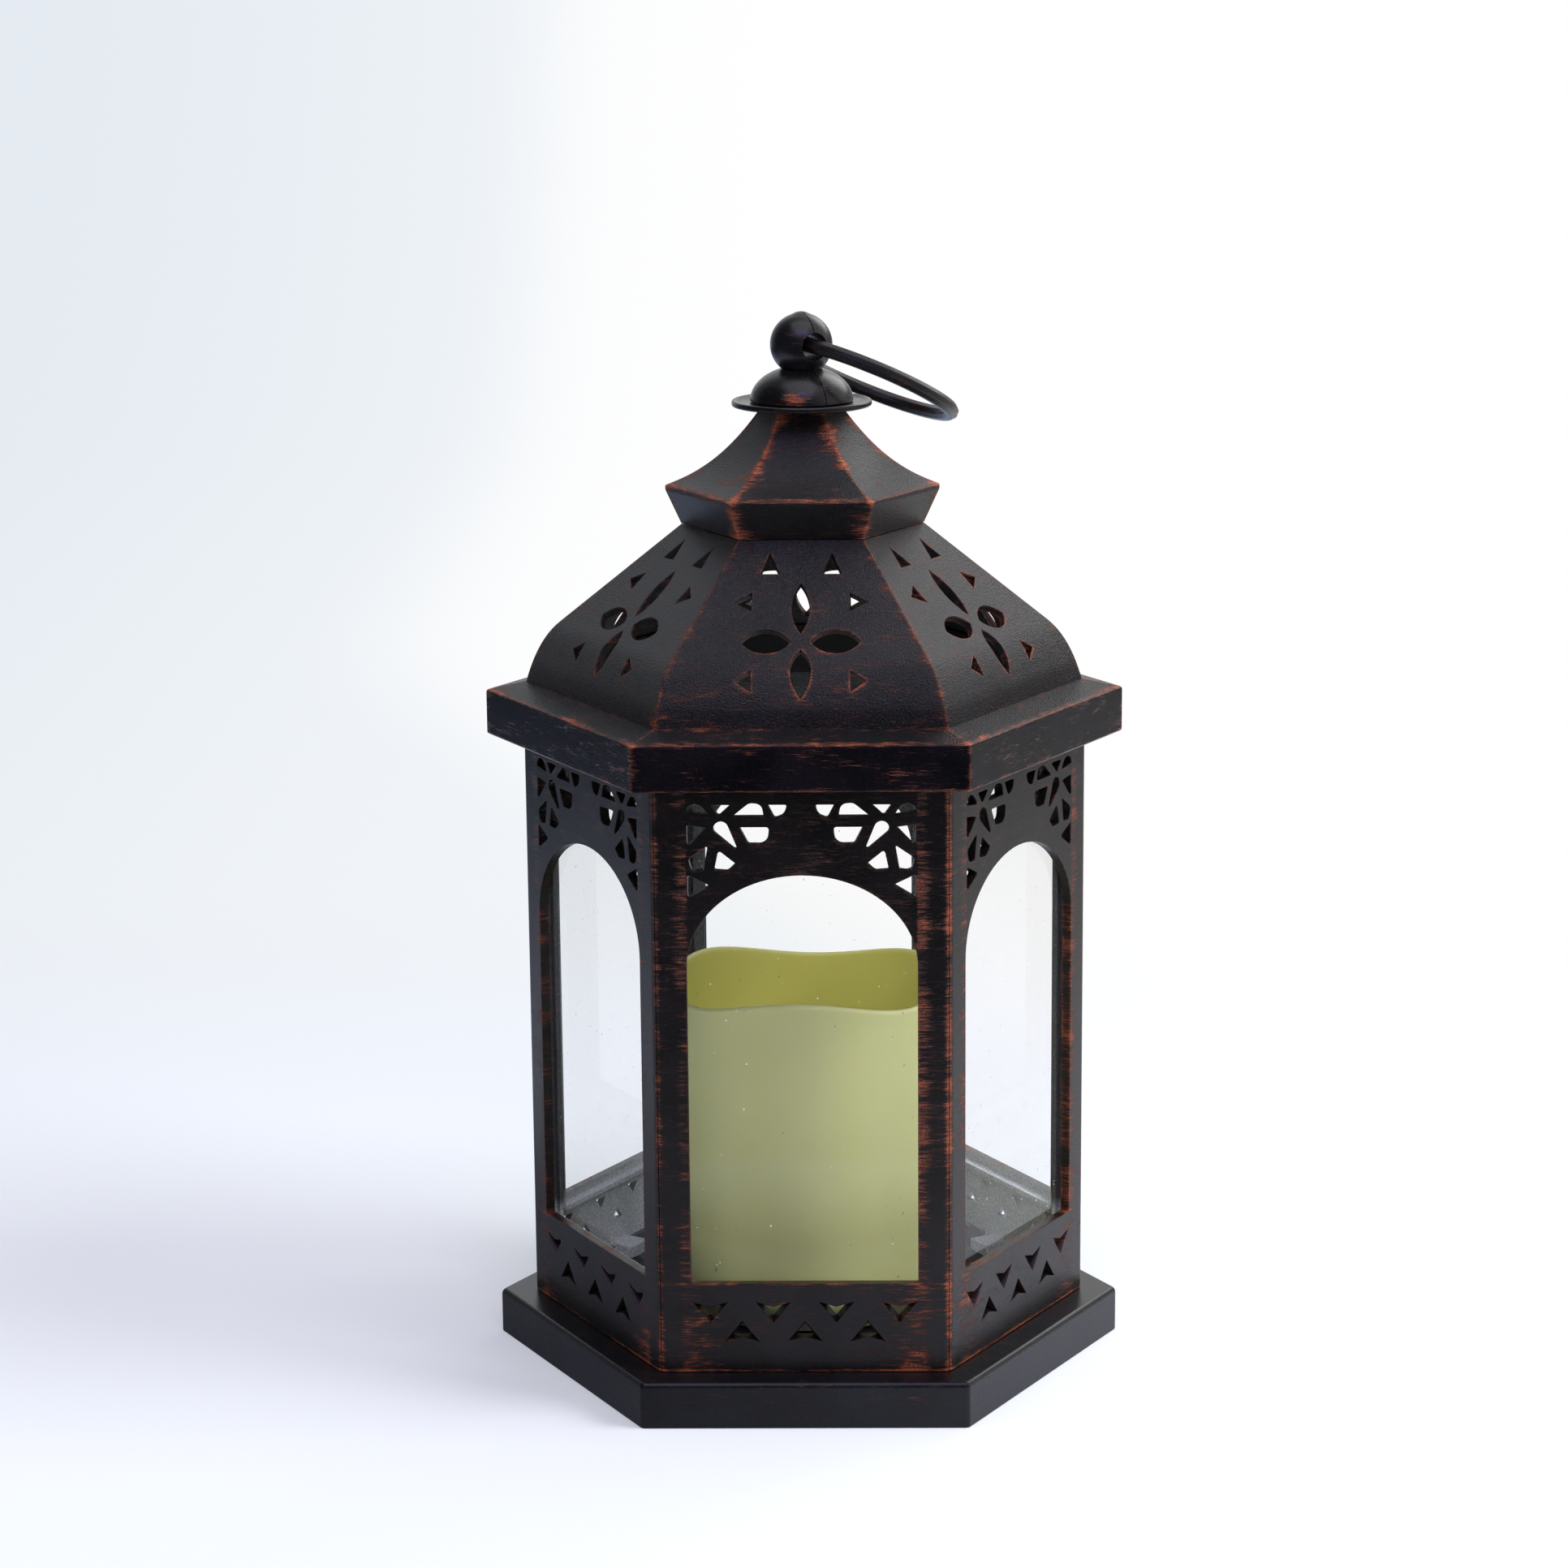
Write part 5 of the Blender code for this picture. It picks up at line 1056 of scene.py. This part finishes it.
@dataclass
class Roof:
    """Pierced roof: fascia, eave, rounded skirt, slopes, deck and locating rib."""

    eave_radius: float = 0.0930
    eave_low: float = 0.1848
    eave_top: float = 0.1980
    eave_edge: float = 0.0009
    foot_edge: float = 0.0004
    fillet: float = 0.0011
    fillet_share: float = 0.03
    inner_fillet: float = 0.0004
    least_step: float = 0.0002
    wall: float = 0.0020
    skirt_foot: Point = (0.0812, 0.2003)
    knee: Point = (0.0711, 0.2179)
    skirt_angle: float = 74.0
    top: Point = (0.0353, 0.2464)
    deck_radius: float = 0.0290
    rib_radius: float = 0.078920
    rib_wall: float = 0.0020
    rib_foot: float = 0.1895
    hole_edge: float = 0.0003
    flower: float = 0.0066
    petal_side: Point = (0.0138, 0.0081)
    petal_top: Point = (0.0174, 0.0050)
    petal_foot: Point = (0.0149, 0.0059)
    petal_gap: float = 0.0028
    dart: Point = (0.0063, 0.0049)
    dart_spread: float = 0.0137
    dart_rises: Point = (0.0137, -0.0128)
    crest: Point = (0.0053, 0.0072)
    crest_spread: float = 0.0087
    crest_rise: float = 0.0237

    def outer(self) -> Outline:
        """Outside line from the fascia's foot to the deck's mouth, in corner radii."""
        slope = math.degrees(math.atan2(self.top[1] - self.knee[1], self.top[0] - self.knee[0]))
        reach = math.dist(self.skirt_foot, self.knee) / 3
        corner = (self.eave_radius - self.eave_edge, self.eave_top - self.eave_edge)
        return [(self.eave_radius - self.foot_edge, self.eave_low),
                (self.eave_radius, self.eave_low + self.foot_edge),
                *rounded(corner, self.eave_edge, 0, 90, 4),
                *bezier(self.skirt_foot, step_from(self.skirt_foot, 180 - self.skirt_angle, reach),
                        step_from(self.knee, slope + 180, reach), self.knee, 14),
                self.top, (self.deck_radius, self.top[1])]

    def inner(self) -> Outline:
        """Inside line, from the fascia's foot as well."""
        line = [(self.eave_radius - self.wall / COS30, self.eave_low)]
        for point in hollowed(self.outer()[1:], self.wall):
            if point[0] <= self.eave_radius - self.wall and math.dist(point, line[-1]) > self.least_step:
                line.append(point)
        return line[:-1] + [(self.deck_radius, self.top[1] - self.wall)]

    def place(self) -> Place:
        """Placing rule on the front slope: across, up the slope from its knee, out of it."""
        knee, top = (Vector((0, -r * COS30, z)) for r, z in (self.knee, self.top))
        up = (top - knee).normalized()
        out = Vector((1, 0, 0)).cross(up)
        return lambda u, v, depth: knee + Vector((u, 0, 0)) + up * v + out * depth

    @staticmethod
    def petal(centre: Point, size: Point, upright: bool) -> Outline:
        """Pointed leaf between two arcs."""
        length, width = size
        radius = (length ** 2 + width ** 2) / (4 * width)
        reach = math.degrees(math.asin(length / 2 / radius))
        side = rounded((0, width / 2 - radius), radius, 90 + reach, 90 - reach, 14)
        outline = side + [(u, -v) for u, v in side[-2:0:-1]]
        if upright:
            outline = [(v, u) for u, v in outline]
        return [(centre[0] + u, centre[1] + v) for u, v in outline]

    def piercings(self) -> list[Outline]:
        """Flower, darts and crests of one face."""
        middle, gap = self.flower, self.petal_gap
        holes = [self.petal((0, middle + gap + self.petal_top[0] / 2), self.petal_top, True),
                 self.petal((0, middle - gap - self.petal_foot[0] / 2), self.petal_foot, True)]
        base, half = middle + self.crest_rise, self.crest[0] / 2
        for side in (-1, 1):
            holes.append(self.petal((side * (gap + self.petal_side[0] / 2), middle), self.petal_side, False))
            for v in (middle + rise for rise in self.dart_rises):
                holes.append([(side * self.dart_spread, v - self.dart[0] / 2),
                              (side * (self.dart_spread + self.dart[1]), v),
                              (side * self.dart_spread, v + self.dart[0] / 2)])
            across = side * self.crest_spread
            holes.append([(across - half, base), (across + half, base), (across, base + self.crest[1])])
        return holes

    def pierced_face(self) -> BMesh:
        """Cutters of the front face, with softened rims."""
        bm = bmesh.new()
        edge = self.hole_edge
        for outline in self.piercings():
            rim = expand(outline, edge + SKIM)
            prism([(outline, -5 * self.wall), (outline, -edge), (expand(outline, edge * 0.3), -edge * 0.3),
                   (rim, SKIM), (rim, 2 * self.wall)], self.place(), bm)
        return bm

    def build(self) -> None:
        """Make the shell, join the rib and pierce the six faces."""
        rings = [hexagon(r, z, min(self.fillet, r * self.fillet_share), 4) for r, z in self.outer()]
        rings += [hexagon(r, z, self.inner_fillet, 4) for r, z in self.inner()[::-1]]
        root = self.skirt_foot[1] + 2 * self.wall
        within = self.rib_radius - self.rib_wall / COS30
        rib = [(self.rib_radius, self.rib_foot), (self.rib_radius, root), (within, root),
               (within, self.rib_foot)]
        roof = Piece("roof", skin(rings, closed=True))
        roof.join(skin([hexagon(r, z, self.inner_fillet, 4) for r, z in rib], closed=True))
        roof.cut(around(self.pierced_face)).dress(ROOF_BLACK, INTERIOR_DARK, looks_in)
        roof.mount(Body.LANTERN, Slot.ROOF, "roof_shell")


def level_axis(azimuth: float) -> Vector:
    """Level direction towards the front, turned to the right by an angle in degrees."""
    angle = math.radians(azimuth)
    return Vector((math.sin(angle), -math.cos(angle), 0))


def level_side(azimuth: float) -> Vector:
    """Level direction square to the one above, on the side where the ring rests."""
    axis = level_axis(azimuth)
    return Vector((-axis.y, axis.x, 0))


@dataclass
class Cap:
    """Concave hexagonal cap with a flared band and a spigot in the roof.

    The flare and the neck are the angle of the curve at its end and its pull there.
    """

    foot: Point = (0.0353, 0.2467)
    rim: Point = (0.0397, 0.2579)
    rim_edge: float = 0.0013
    top: Point = (0.0117, 0.2804)
    flare: Point = (18.6, 0.60)
    neck: Point = (54.2, 0.55)
    wall: float = 0.0020
    fillet: float = 0.0011
    fillet_share: float = 0.045
    inner_fillet: float = 0.0003
    spigot_radius: float = 0.028654
    spigot_depth: float = 0.0050
    plug: Point = (0.0040, 0.0050)
    screw_offset: float = 0.0058
    screw_azimuth: float = 29.0
    hole: float = 0.0017

    def curve(self) -> Outline:
        """Hollow line from the rim to the top."""
        rise = self.top[1] - self.rim[1]
        return bezier(self.rim, step_from(self.rim, 180 - self.flare[0], rise * self.flare[1]),
                      step_from(self.top, -self.neck[0], rise * self.neck[1]), self.top, 22)

    def outer(self) -> Outline:
        """Outside line, with the rim's edge rounded in four small steps."""
        low = (self.rim[0], self.rim[1] - self.rim_edge)
        return [self.foot, (low[0] - 0.00005, low[1] - 0.0004), (low[0] + 0.0001, low[1] + 0.0002),
                (self.rim[0] + 0.0001, self.rim[1] - 0.0003), (self.rim[0] - 0.0002, self.rim[1]),
                *self.curve()[1:]]

    def inner(self) -> Outline:
        """Inside line from the spigot's top outside, round the spigot, to the ceiling."""
        spigot, slim = self.spigot_radius, self.spigot_radius - self.wall / COS30
        foot, end = self.foot[1], self.foot[1] - self.spigot_depth
        line = hollowed([self.foot, (self.rim[0], self.rim[1] - self.rim_edge), *self.curve()], self.wall)
        return [(spigot, foot), (spigot, end), (slim, end), (slim, foot + self.wall),
                *((r, z) for r, z in line if foot + self.wall < z <= self.top[1] - self.wall)]

    def build(self) -> None:
        """Make the shell, close its crown and bore the screw holes."""
        top, floor = self.top[1], self.top[1] - self.wall
        rings = [hexagon(r, z, max(self.inner_fillet, min(self.fillet, r * self.fillet_share)), 5)
                 for r, z in self.outer()]
        crown = [(self.plug[0], top), (self.plug[0], floor)]
        rings += [hexagon(r, z, self.inner_fillet, 5) for r, z in crown + self.inner()[::-1]]
        cap = Piece("cap", skin(rings, closed=True))
        cap.join(skin([hexagon(self.plug[1], z, self.inner_fillet, 5) for z in (floor, top)]))
        holes = bmesh.new()
        for sign in (-1, 1):
            add_bore(holes, level_side(self.screw_azimuth) * self.screw_offset * sign, floor, top, self.hole)
        cap.cut(holes).dress(CAP_BLACK, INTERIOR_DARK, looks_in).mount(Body.LANTERN, Slot.ROOF, "roof_cap")


@dataclass
class Finial:
    """Thin flange, and a dome and ball in two halves."""

    disc_z: float = 0.2807
    disc_radius: float = 0.0202
    disc_thickness: float = 0.0011
    disc_rim: float = 0.0006
    foot: float = 0.2821
    foot_edge: float = 0.0002
    dome_radius: float = 0.0149
    dome_height: float = 0.0101
    neck: float = 0.0058
    ball_radius: float = 0.0090
    ball_z: float = 0.298285
    nub: Point = (0.0014, 0.0004)
    bore: float = 0.0038
    mouth: float = 0.0012
    azimuth: float = 29.0
    seam: float = 0.0003
    screw_offset: float = 0.0058
    screw_depth: float = 0.0049
    hole: float = 0.0017
    facet_turn: float = 2.5

    def disc(self) -> None:
        """Flange with a rolled rim."""
        top = self.disc_z + self.disc_thickness
        r, rim = self.disc_radius, self.disc_rim
        profile = [(0, self.disc_z), (r - rim, self.disc_z),
                   *rounded((r - rim, self.disc_z + rim), rim, -90, 0, 5)[1:],
                   *rounded((r - rim, top), rim, 0, 90, 5),
                   (r - 2 * rim, top + rim * 0.7), (r - 3 * rim, top + rim * 0.1), (r - 3.6 * rim, top),
                   (0, top)]
        holes = bmesh.new()
        for sign in (-1, 1):
            centre = level_side(self.azimuth) * self.screw_offset * sign
            add_bore(holes, centre, self.disc_z, top, self.hole)
        disc = Piece("disc", spun(profile, 96)).cut(holes)
        disc.dress(BRONZE_FINIAL).mount(Body.LANTERN, Slot.BRONZE, "finial_disc")

    def profile(self) -> Outline:
        """Dome and ball from the foot to the nub."""
        last = math.degrees(math.acos(self.neck / self.dome_radius))
        first = -math.degrees(math.acos(self.neck / self.ball_radius))
        width, height = self.nub
        top = self.ball_z + self.ball_radius + height
        return [(0, self.foot), (self.dome_radius - self.foot_edge, self.foot),
                (self.dome_radius, self.foot + self.foot_edge),
                *rounded((0, self.foot), self.dome_radius, 0, last, 16, self.dome_height)[1:],
                *rounded((0, self.ball_z), self.ball_radius, first, 90, 30)[1:27],
                (width, top - height * 0.42), (width * 0.5, top - height * 0.1), (0, top)]

    def half(self, name: str, side: int) -> None:
        """One half, bored for the ring and its screw and parted along the ring's bore."""
        across = level_side(self.azimuth) * side
        reach = math.sqrt(self.ball_radius ** 2 - self.bore ** 2)
        flare, start = reach + self.mouth, reach - self.mouth / 4
        bores = bmesh.new()
        add_rod(bores, UP * self.ball_z, level_axis(self.azimuth),
                [(-flare, self.bore + self.mouth), (-start, self.bore), (start, self.bore),
                 (flare, self.bore + self.mouth)], 48)
        add_bore(bores, level_side(self.azimuth) * self.screw_offset * side, self.foot,
                 self.foot + self.screw_depth, self.hole, blind=True)
        half = Piece("half_" + name, spun(self.profile(), 72, turn=self.azimuth + self.facet_turn))
        half.cut(bores).slice(across * self.seam / 2, -across).dress(BRONZE_FINIAL, angle=40)
        half.mount(Body.LANTERN, Slot.BRONZE, name)

    def build(self) -> None:
        """Make the flange and both halves."""
        self.disc()
        self.half("finial_left", -1)
        self.half("finial_right", 1)


@dataclass
class CarryRing:
    """Round ring of facetted wire through the ball, hung to one side."""

    radius: float = 0.0261
    wire: float = 0.0020
    offset: float = 0.000667
    droop: float = 26.7
    azimuth: float = 33.0
    ball_z: float = 0.298285
    facets: int = 8
    soft: float = 0.16
    steps: int = 128

    def section(self) -> Outline:
        """Facetted wire with softened corners."""
        turn = 180 / self.facets
        sharp = rounded((0, 0), self.wire / math.cos(math.radians(turn)), turn, 360 - turn, self.facets - 1)
        outline = []
        for i, point in enumerate(sharp):
            before, after = sharp[i - 1], sharp[(i + 1) % self.facets]
            for other, share, pull in ((before, self.soft, 1), (before, self.soft / 3, 0.995),
                                       (after, self.soft / 3, 0.995), (after, self.soft, 1)):
                outline.append(tuple(Vector(point).lerp(Vector(other), share) * pull))
        return outline

    def build(self) -> None:
        """Sweep the section round the ring."""
        droop = math.radians(self.droop)
        axis = level_axis(self.azimuth)
        hang = level_side(self.azimuth) * math.cos(droop) - UP * math.sin(droop)
        normal = axis.cross(hang)
        section = self.section()
        rings = []
        for i in range(self.steps):
            angle = math.tau * i / self.steps
            outward = axis * math.cos(angle) + hang * math.sin(angle)
            centre = UP * self.ball_z + hang * (self.radius - self.offset) + outward * self.radius
            rings.append([centre + outward * u + normal * v for u, v in section])
        ring = Piece("ring_wire", skin(rings, closed=True))
        ring.dress(BRONZE_RING, angle=50).mount(Body.RING, Slot.BRONZE, "carry_ring")


@dataclass
class Candle:
    """Hollow pillar with a waved rim, a well and a hole for the lamp."""

    radius: float = 0.0402
    foot: float = 0.0138
    foot_edge: float = 0.0006
    height: float = 0.0964
    wall: float = 0.0030
    rim: float = 0.0022
    well: float = 0.0220
    floor: float = 0.0022
    wave: float = 0.0027
    waves: int = 3
    turn: float = 9.0
    lamp_hole: float = 0.0028

    def profile(self) -> Outline:
        """Closed line: up the outside, over the rim, down the well and back inside."""
        top, radius, edge = self.foot + self.height, self.radius, self.rim / 2
        start, shoulder = top - self.well / 2, top - edge
        inside, bore, well = radius - self.rim, radius - self.wall, top - self.well
        corner = inside - self.wall / 2 - self.wall
        ceiling = well - self.floor
        return [(radius - self.foot_edge, self.foot), (radius, self.foot + self.foot_edge),
                *((radius, self.foot + 0.02 * i) for i in range(1, 4)), (radius, start),
                *((radius, start + (shoulder - start) * i / 6) for i in range(1, 6)),
                *rounded((radius - edge, shoulder), edge, 0, 180, 10),
                *((inside - self.wall / 4 * i / 5, shoulder - (shoulder - start) * i / 5)
                  for i in range(1, 6)),
                *rounded((corner, well + self.wall), self.wall, 0, -90, 6),
                (self.lamp_hole, well), (self.lamp_hole, ceiling), (bore - self.wall, ceiling),
                (bore, ceiling - self.wall), (bore, self.foot)]

    def build(self) -> None:
        """Turn the pillar and wave its rim."""
        bm = spun(self.profile(), 128, closed=True)
        top = self.foot + self.height
        start = top - self.well / 2
        for vert in bm.verts:
            if vert.co.z > start + LET_IN:
                angle = math.atan2(vert.co.y, vert.co.x)
                wave = math.sin(self.waves * angle + math.radians(self.turn))
                vert.co.z += self.wave * wave * (vert.co.z - start) / (top - start)
        Piece("candle", bm).dress(WAX, angle=40).mount(Body.LANTERN, Slot.WAX, "candle_shell")


@dataclass
class Dressing:
    """Finishes for the CAD nodes that are shown as they are."""

    rules: tuple = (("pane_", GLASS, Slot.GLASS), ("base_screw", STEEL, Slot.STEEL),
                    ("candle_screw", STEEL, Slot.STEEL), ("finial_screw", STEEL, Slot.STEEL),
                    ("battery_contact", CONTACT, Slot.CONTACT), ("battery_door", INNER_BLACK, Slot.INNER),
                    ("battery_", JACKET, Slot.JACKET), ("candle_base", INNER_BLACK, Slot.INNER),
                    ("switch_body", INNER_BLACK, Slot.INNER), ("switch_knob", KNOB_GREY, Slot.KNOB),
                    ("led_board", BOARD, Slot.BOARD), ("led_lamp", LAMP, Slot.LAMP),
                    ("led_lead", SLEEVE, Slot.SLEEVE))

    def build(self) -> None:
        """Assign the first rule that fits each shown node."""
        for name, obj in sorted(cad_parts.items()):
            if obj.hide_render:
                continue
            for start, finish, slot in self.rules:
                if name.startswith(start):
                    for place in obj.material_slots:
                        place.material = finish.material()
                    LOG.info("%s: finish %s", name, finish.name)
                    break
            else:
                LOG.warning("%s has no finish", name)


@dataclass
class Softbox:
    """One area lamp, aimed at the lantern unless told otherwise."""

    name: str
    place: Spot
    size: Point
    radiance: float
    colour: Colour = WHITE
    glossy: bool = True
    aim: Spot = (0.0, 0.0, 0.16)
    spread: float = 180.0

    def build(self) -> None:
        """Make the lamp; its power follows from its brightness and size."""
        lamp = bpy.data.lights.new(self.name, "AREA")
        lamp.shape = "RECTANGLE"
        lamp.size, lamp.size_y = self.size
        lamp.energy = self.radiance * math.pi * self.size[0] * self.size[1]
        lamp.color = self.colour
        lamp.spread = math.radians(self.spread)
        obj = in_scene(self.name, lamp)
        obj.location = self.place
        obj.rotation_euler = (Vector(self.aim) - Vector(self.place)).to_track_quat("-Z", "Y").to_euler()
        obj.visible_glossy = self.glossy
        obj.visible_camera = False


@dataclass(frozen=True)
class Paper(Finish):
    """Backdrop that looks white, and is shaded from left to right where the lantern mirrors it."""

    bent: Point = (1.2, 1.8)
    front: Point = (-0.306, -0.298)
    floor_left: Point = (-0.78, -0.30)
    floor_right: Point = (0.35, 0.85)
    floor_near: Point = (0.02, 0.09)
    wall_left: Point = (-2.4, -1.0)
    wall_right: Point = (0.3, 1.2)
    wall_top: Point = (0.8, 1.7)
    shade: Colour = (0.79, 0.82, 0.87)
    dark: Colour = (0.02, 0.02, 0.02)

    def tint(self, graph: Graph) -> Wire:
        """Colour of the glow: cooler to the left, and bluer there in mirrors on the floor."""
        x, y, _ = graph.axes
        broad = graph.blend(x.ramp(-0.75, 0.02), (0.88, 0.90, 0.93), WHITE)
        along = x + y.ramp(0.2, 1.2, 0.0, 0.3)
        cool = graph.blend(along.ramp(-0.02, 0.12), (0.89, 0.92, 0.95), WHITE)
        blue = graph.blend(x.ramp(-0.02, 0.25), (0.62, 0.73, 1.0), WHITE)
        blue = graph.blend(graph.ray("Glossy") * y.ramp(*self.bent, 1.0, 0.0), WHITE, blue)
        return graph.blend(1.0, graph.blend(1.0, broad, cool, "MULTIPLY"), blue, "MULTIPLY")

    def glow(self, graph: Graph) -> Wire:
        """Share of its own light, by which the ground turns white away from the lantern."""
        x, y, _ = graph.axes
        seen = graph.ray("Camera").most(graph.ray("Transmission")).most(graph.ray("Glossy"))
        far = graph.math("ADD", y.ramp(0.15, 0.55), x.ramp(0.2, 0.5), clamp=True)
        far = far.most((x * x + y * y).ramp(0.6, 1.6))
        return seen * far.ramp(0.0, 1.0, 0.27, 1.0, "LINEAR")

    def mirrored(self, graph: Graph) -> Wire:
        """Brightness in mirrors, on the floor and on the wall behind it."""
        x, y, z = graph.axes
        floor = x.ramp(*self.floor_left, 0.12, 1.0) * x.ramp(*self.floor_right, 1.0, 0.35)
        near = (x * x + y * y).ramp(*self.floor_near).most(x.ramp(-0.1, 0.12, 0.35, 1.0))
        right = x.ramp(*self.wall_right, 1.0, 0.0).most(z.ramp(*self.wall_top, 0.3, 1.0))
        wall = x.ramp(*self.wall_left, 0.28, 1.0) * right
        away = y.ramp(*self.bent)
        return (wall * away + floor * near * (1.0 - away)) * y.ramp(*self.front)

    def dress(self, graph: Graph) -> None:
        """Shaded ground and glow, dimmed in mirrors, and clear from below."""
        lit = graph.out("BsdfDiffuse", {"Color": self.shade})
        glow = graph.out("Emission", {"Color": self.tint(graph), "Strength": 1.0})
        dark = graph.out("BsdfDiffuse", {"Color": self.dark})
        dim = graph.ray("Glossy") * (1.0 - self.mirrored(graph))
        floor = graph.mix(dim, graph.mix(self.glow(graph), lit, glow), dark)
        below = graph.out("NewGeometry", pick="Backfacing")
        graph.finish(graph.mix(below, floor, graph.out("BsdfTransparent")))


@dataclass
class Studio:
    """Camera, floor with a curved backdrop, world and lamps."""

    distance: float = 1.197312
    elevation: float = 12.660
    azimuth: float = 0.831
    roll: float = -0.437
    aim_height: float = 0.169102
    lens: float = 93.68
    shift: float = -0.01312
    bend: float = 0.8
    depth: float = 2.6
    height: float = 3.0
    half: float = 5.0
    floor: tuple = (-4.0, -0.6, 0.6)
    softboxes: list = field(default_factory=lambda: [
        Softbox("key", (0.80, 1.15, 1.10), (0.9, 0.9), 2.2),
        Softbox("key_soft", (1.20, -0.30, 1.15), (0.8, 0.8), 12.0, glossy=False),
        Softbox("top", (0.0, -0.28, 1.5), (1.3, 1.05), 1.15, (0.90, 0.93, 1.0)),
        Softbox("brow", (0.0, -1.02, 1.45), (1.2, 0.40), 3.4, (0.56, 0.44, 1.0)),
        Softbox("top_soft", (0.1, 0.2, 1.7), (1.2, 1.2), 0.8, glossy=False),
        Softbox("front_fill", (0.2, -1.9, 1.1), (1.4, 1.0), 3.6, glossy=False),
        Softbox("left_fill", (-1.5, -0.7, 0.6), (0.9, 0.9), 2.4, glossy=False),
        Softbox("well", (0.0, -0.020, 0.168), (0.05, 0.03), 2.2, (1.0, 0.97, 0.85), glossy=False,
                aim=(0.004, 0.034, 0.120), spread=95)])

    def camera(self) -> None:
        """Camera at the photograph's place."""
        el, az, roll = (math.radians(a) for a in (self.elevation, self.azimuth, self.roll))
        back = Vector((math.sin(az) * math.cos(el), -math.cos(az) * math.cos(el), math.sin(el)))
        right = (-back).cross(UP).normalized()
        up = right.cross(-back)
        side = right * math.cos(roll) + up * math.sin(roll)
        over = up * math.cos(roll) - right * math.sin(roll)
        data = bpy.data.cameras.new("camera")
        data.lens, data.sensor_width, data.shift_x = self.lens, 36.0, self.shift
        obj = in_scene("camera", data)
        turn = Matrix((side, over, back)).transposed().to_4x4()
        obj.matrix_world = Matrix.Translation(UP * self.aim_height + back * self.distance) @ turn
        bpy.context.scene.camera = obj

    def backdrop(self) -> None:
        """Pale floor that curves up behind the lantern."""
        bend = rounded((self.depth - self.bend, self.bend), self.bend, -90, 0, 16)
        line = [*((y, 0.0) for y in self.floor), *bend, (self.depth, self.height)]
        bm = bmesh.new()
        rows = [[bm.verts.new((x, y, z)) for x in (-self.half, self.half)] for y, z in line]
        for low, high in zip(rows, rows[1:]):
            bm.faces.new((low[0], low[1], high[1], high[0]))
        mesh = bpy.data.meshes.new("backdrop")
        bm.to_mesh(mesh)
        bm.free()
        mesh.shade_smooth()
        mesh.materials.append(Paper("backdrop").material())
        obj = in_scene("backdrop", mesh)

    def world(self) -> None:
        """White to the camera, and dim with a brighter right side to everything else."""
        world = bpy.data.worlds.new("studio")
        bpy.context.scene.world = world
        world.use_nodes = True
        graph = Graph(world.node_tree)
        x, y, z = graph.node("SeparateXYZ", {0: graph.out("TexCoord", pick="Generated")}).values()
        dim = (x * 0.7 + y * 0.5 + z * 0.1).ramp(-0.5, 1.0, 0.02, 0.9)
        dim = dim * graph.ray("Diffuse").ramp(0.0, 1.0, 1.0, 0.5)
        shader = graph.out("Background", {"Color": WHITE, "Strength": dim.most(graph.ray("Camera"))})
        graph.node("OutputWorld", {"Surface": shader})

    def build(self) -> None:
        """Set up everything that isn't the object."""
        self.camera()
        self.backdrop()
        self.world()
        for softbox in self.softboxes:
            softbox.build()
        bpy.context.scene.view_settings.view_transform = "Standard"
        LOG.info("studio: %d lamps", len(self.softboxes))


def main() -> None:
    """Build the studio, then each sub-assembly."""
    logging.basicConfig(level=logging.INFO, format="%(message)s")
    for assembly in (Studio, Plinth, SidePanels, Roof, Cap, Finial, CarryRing, Candle, Dressing):
        assembly().build()


if __name__ == "__main__":
    main()
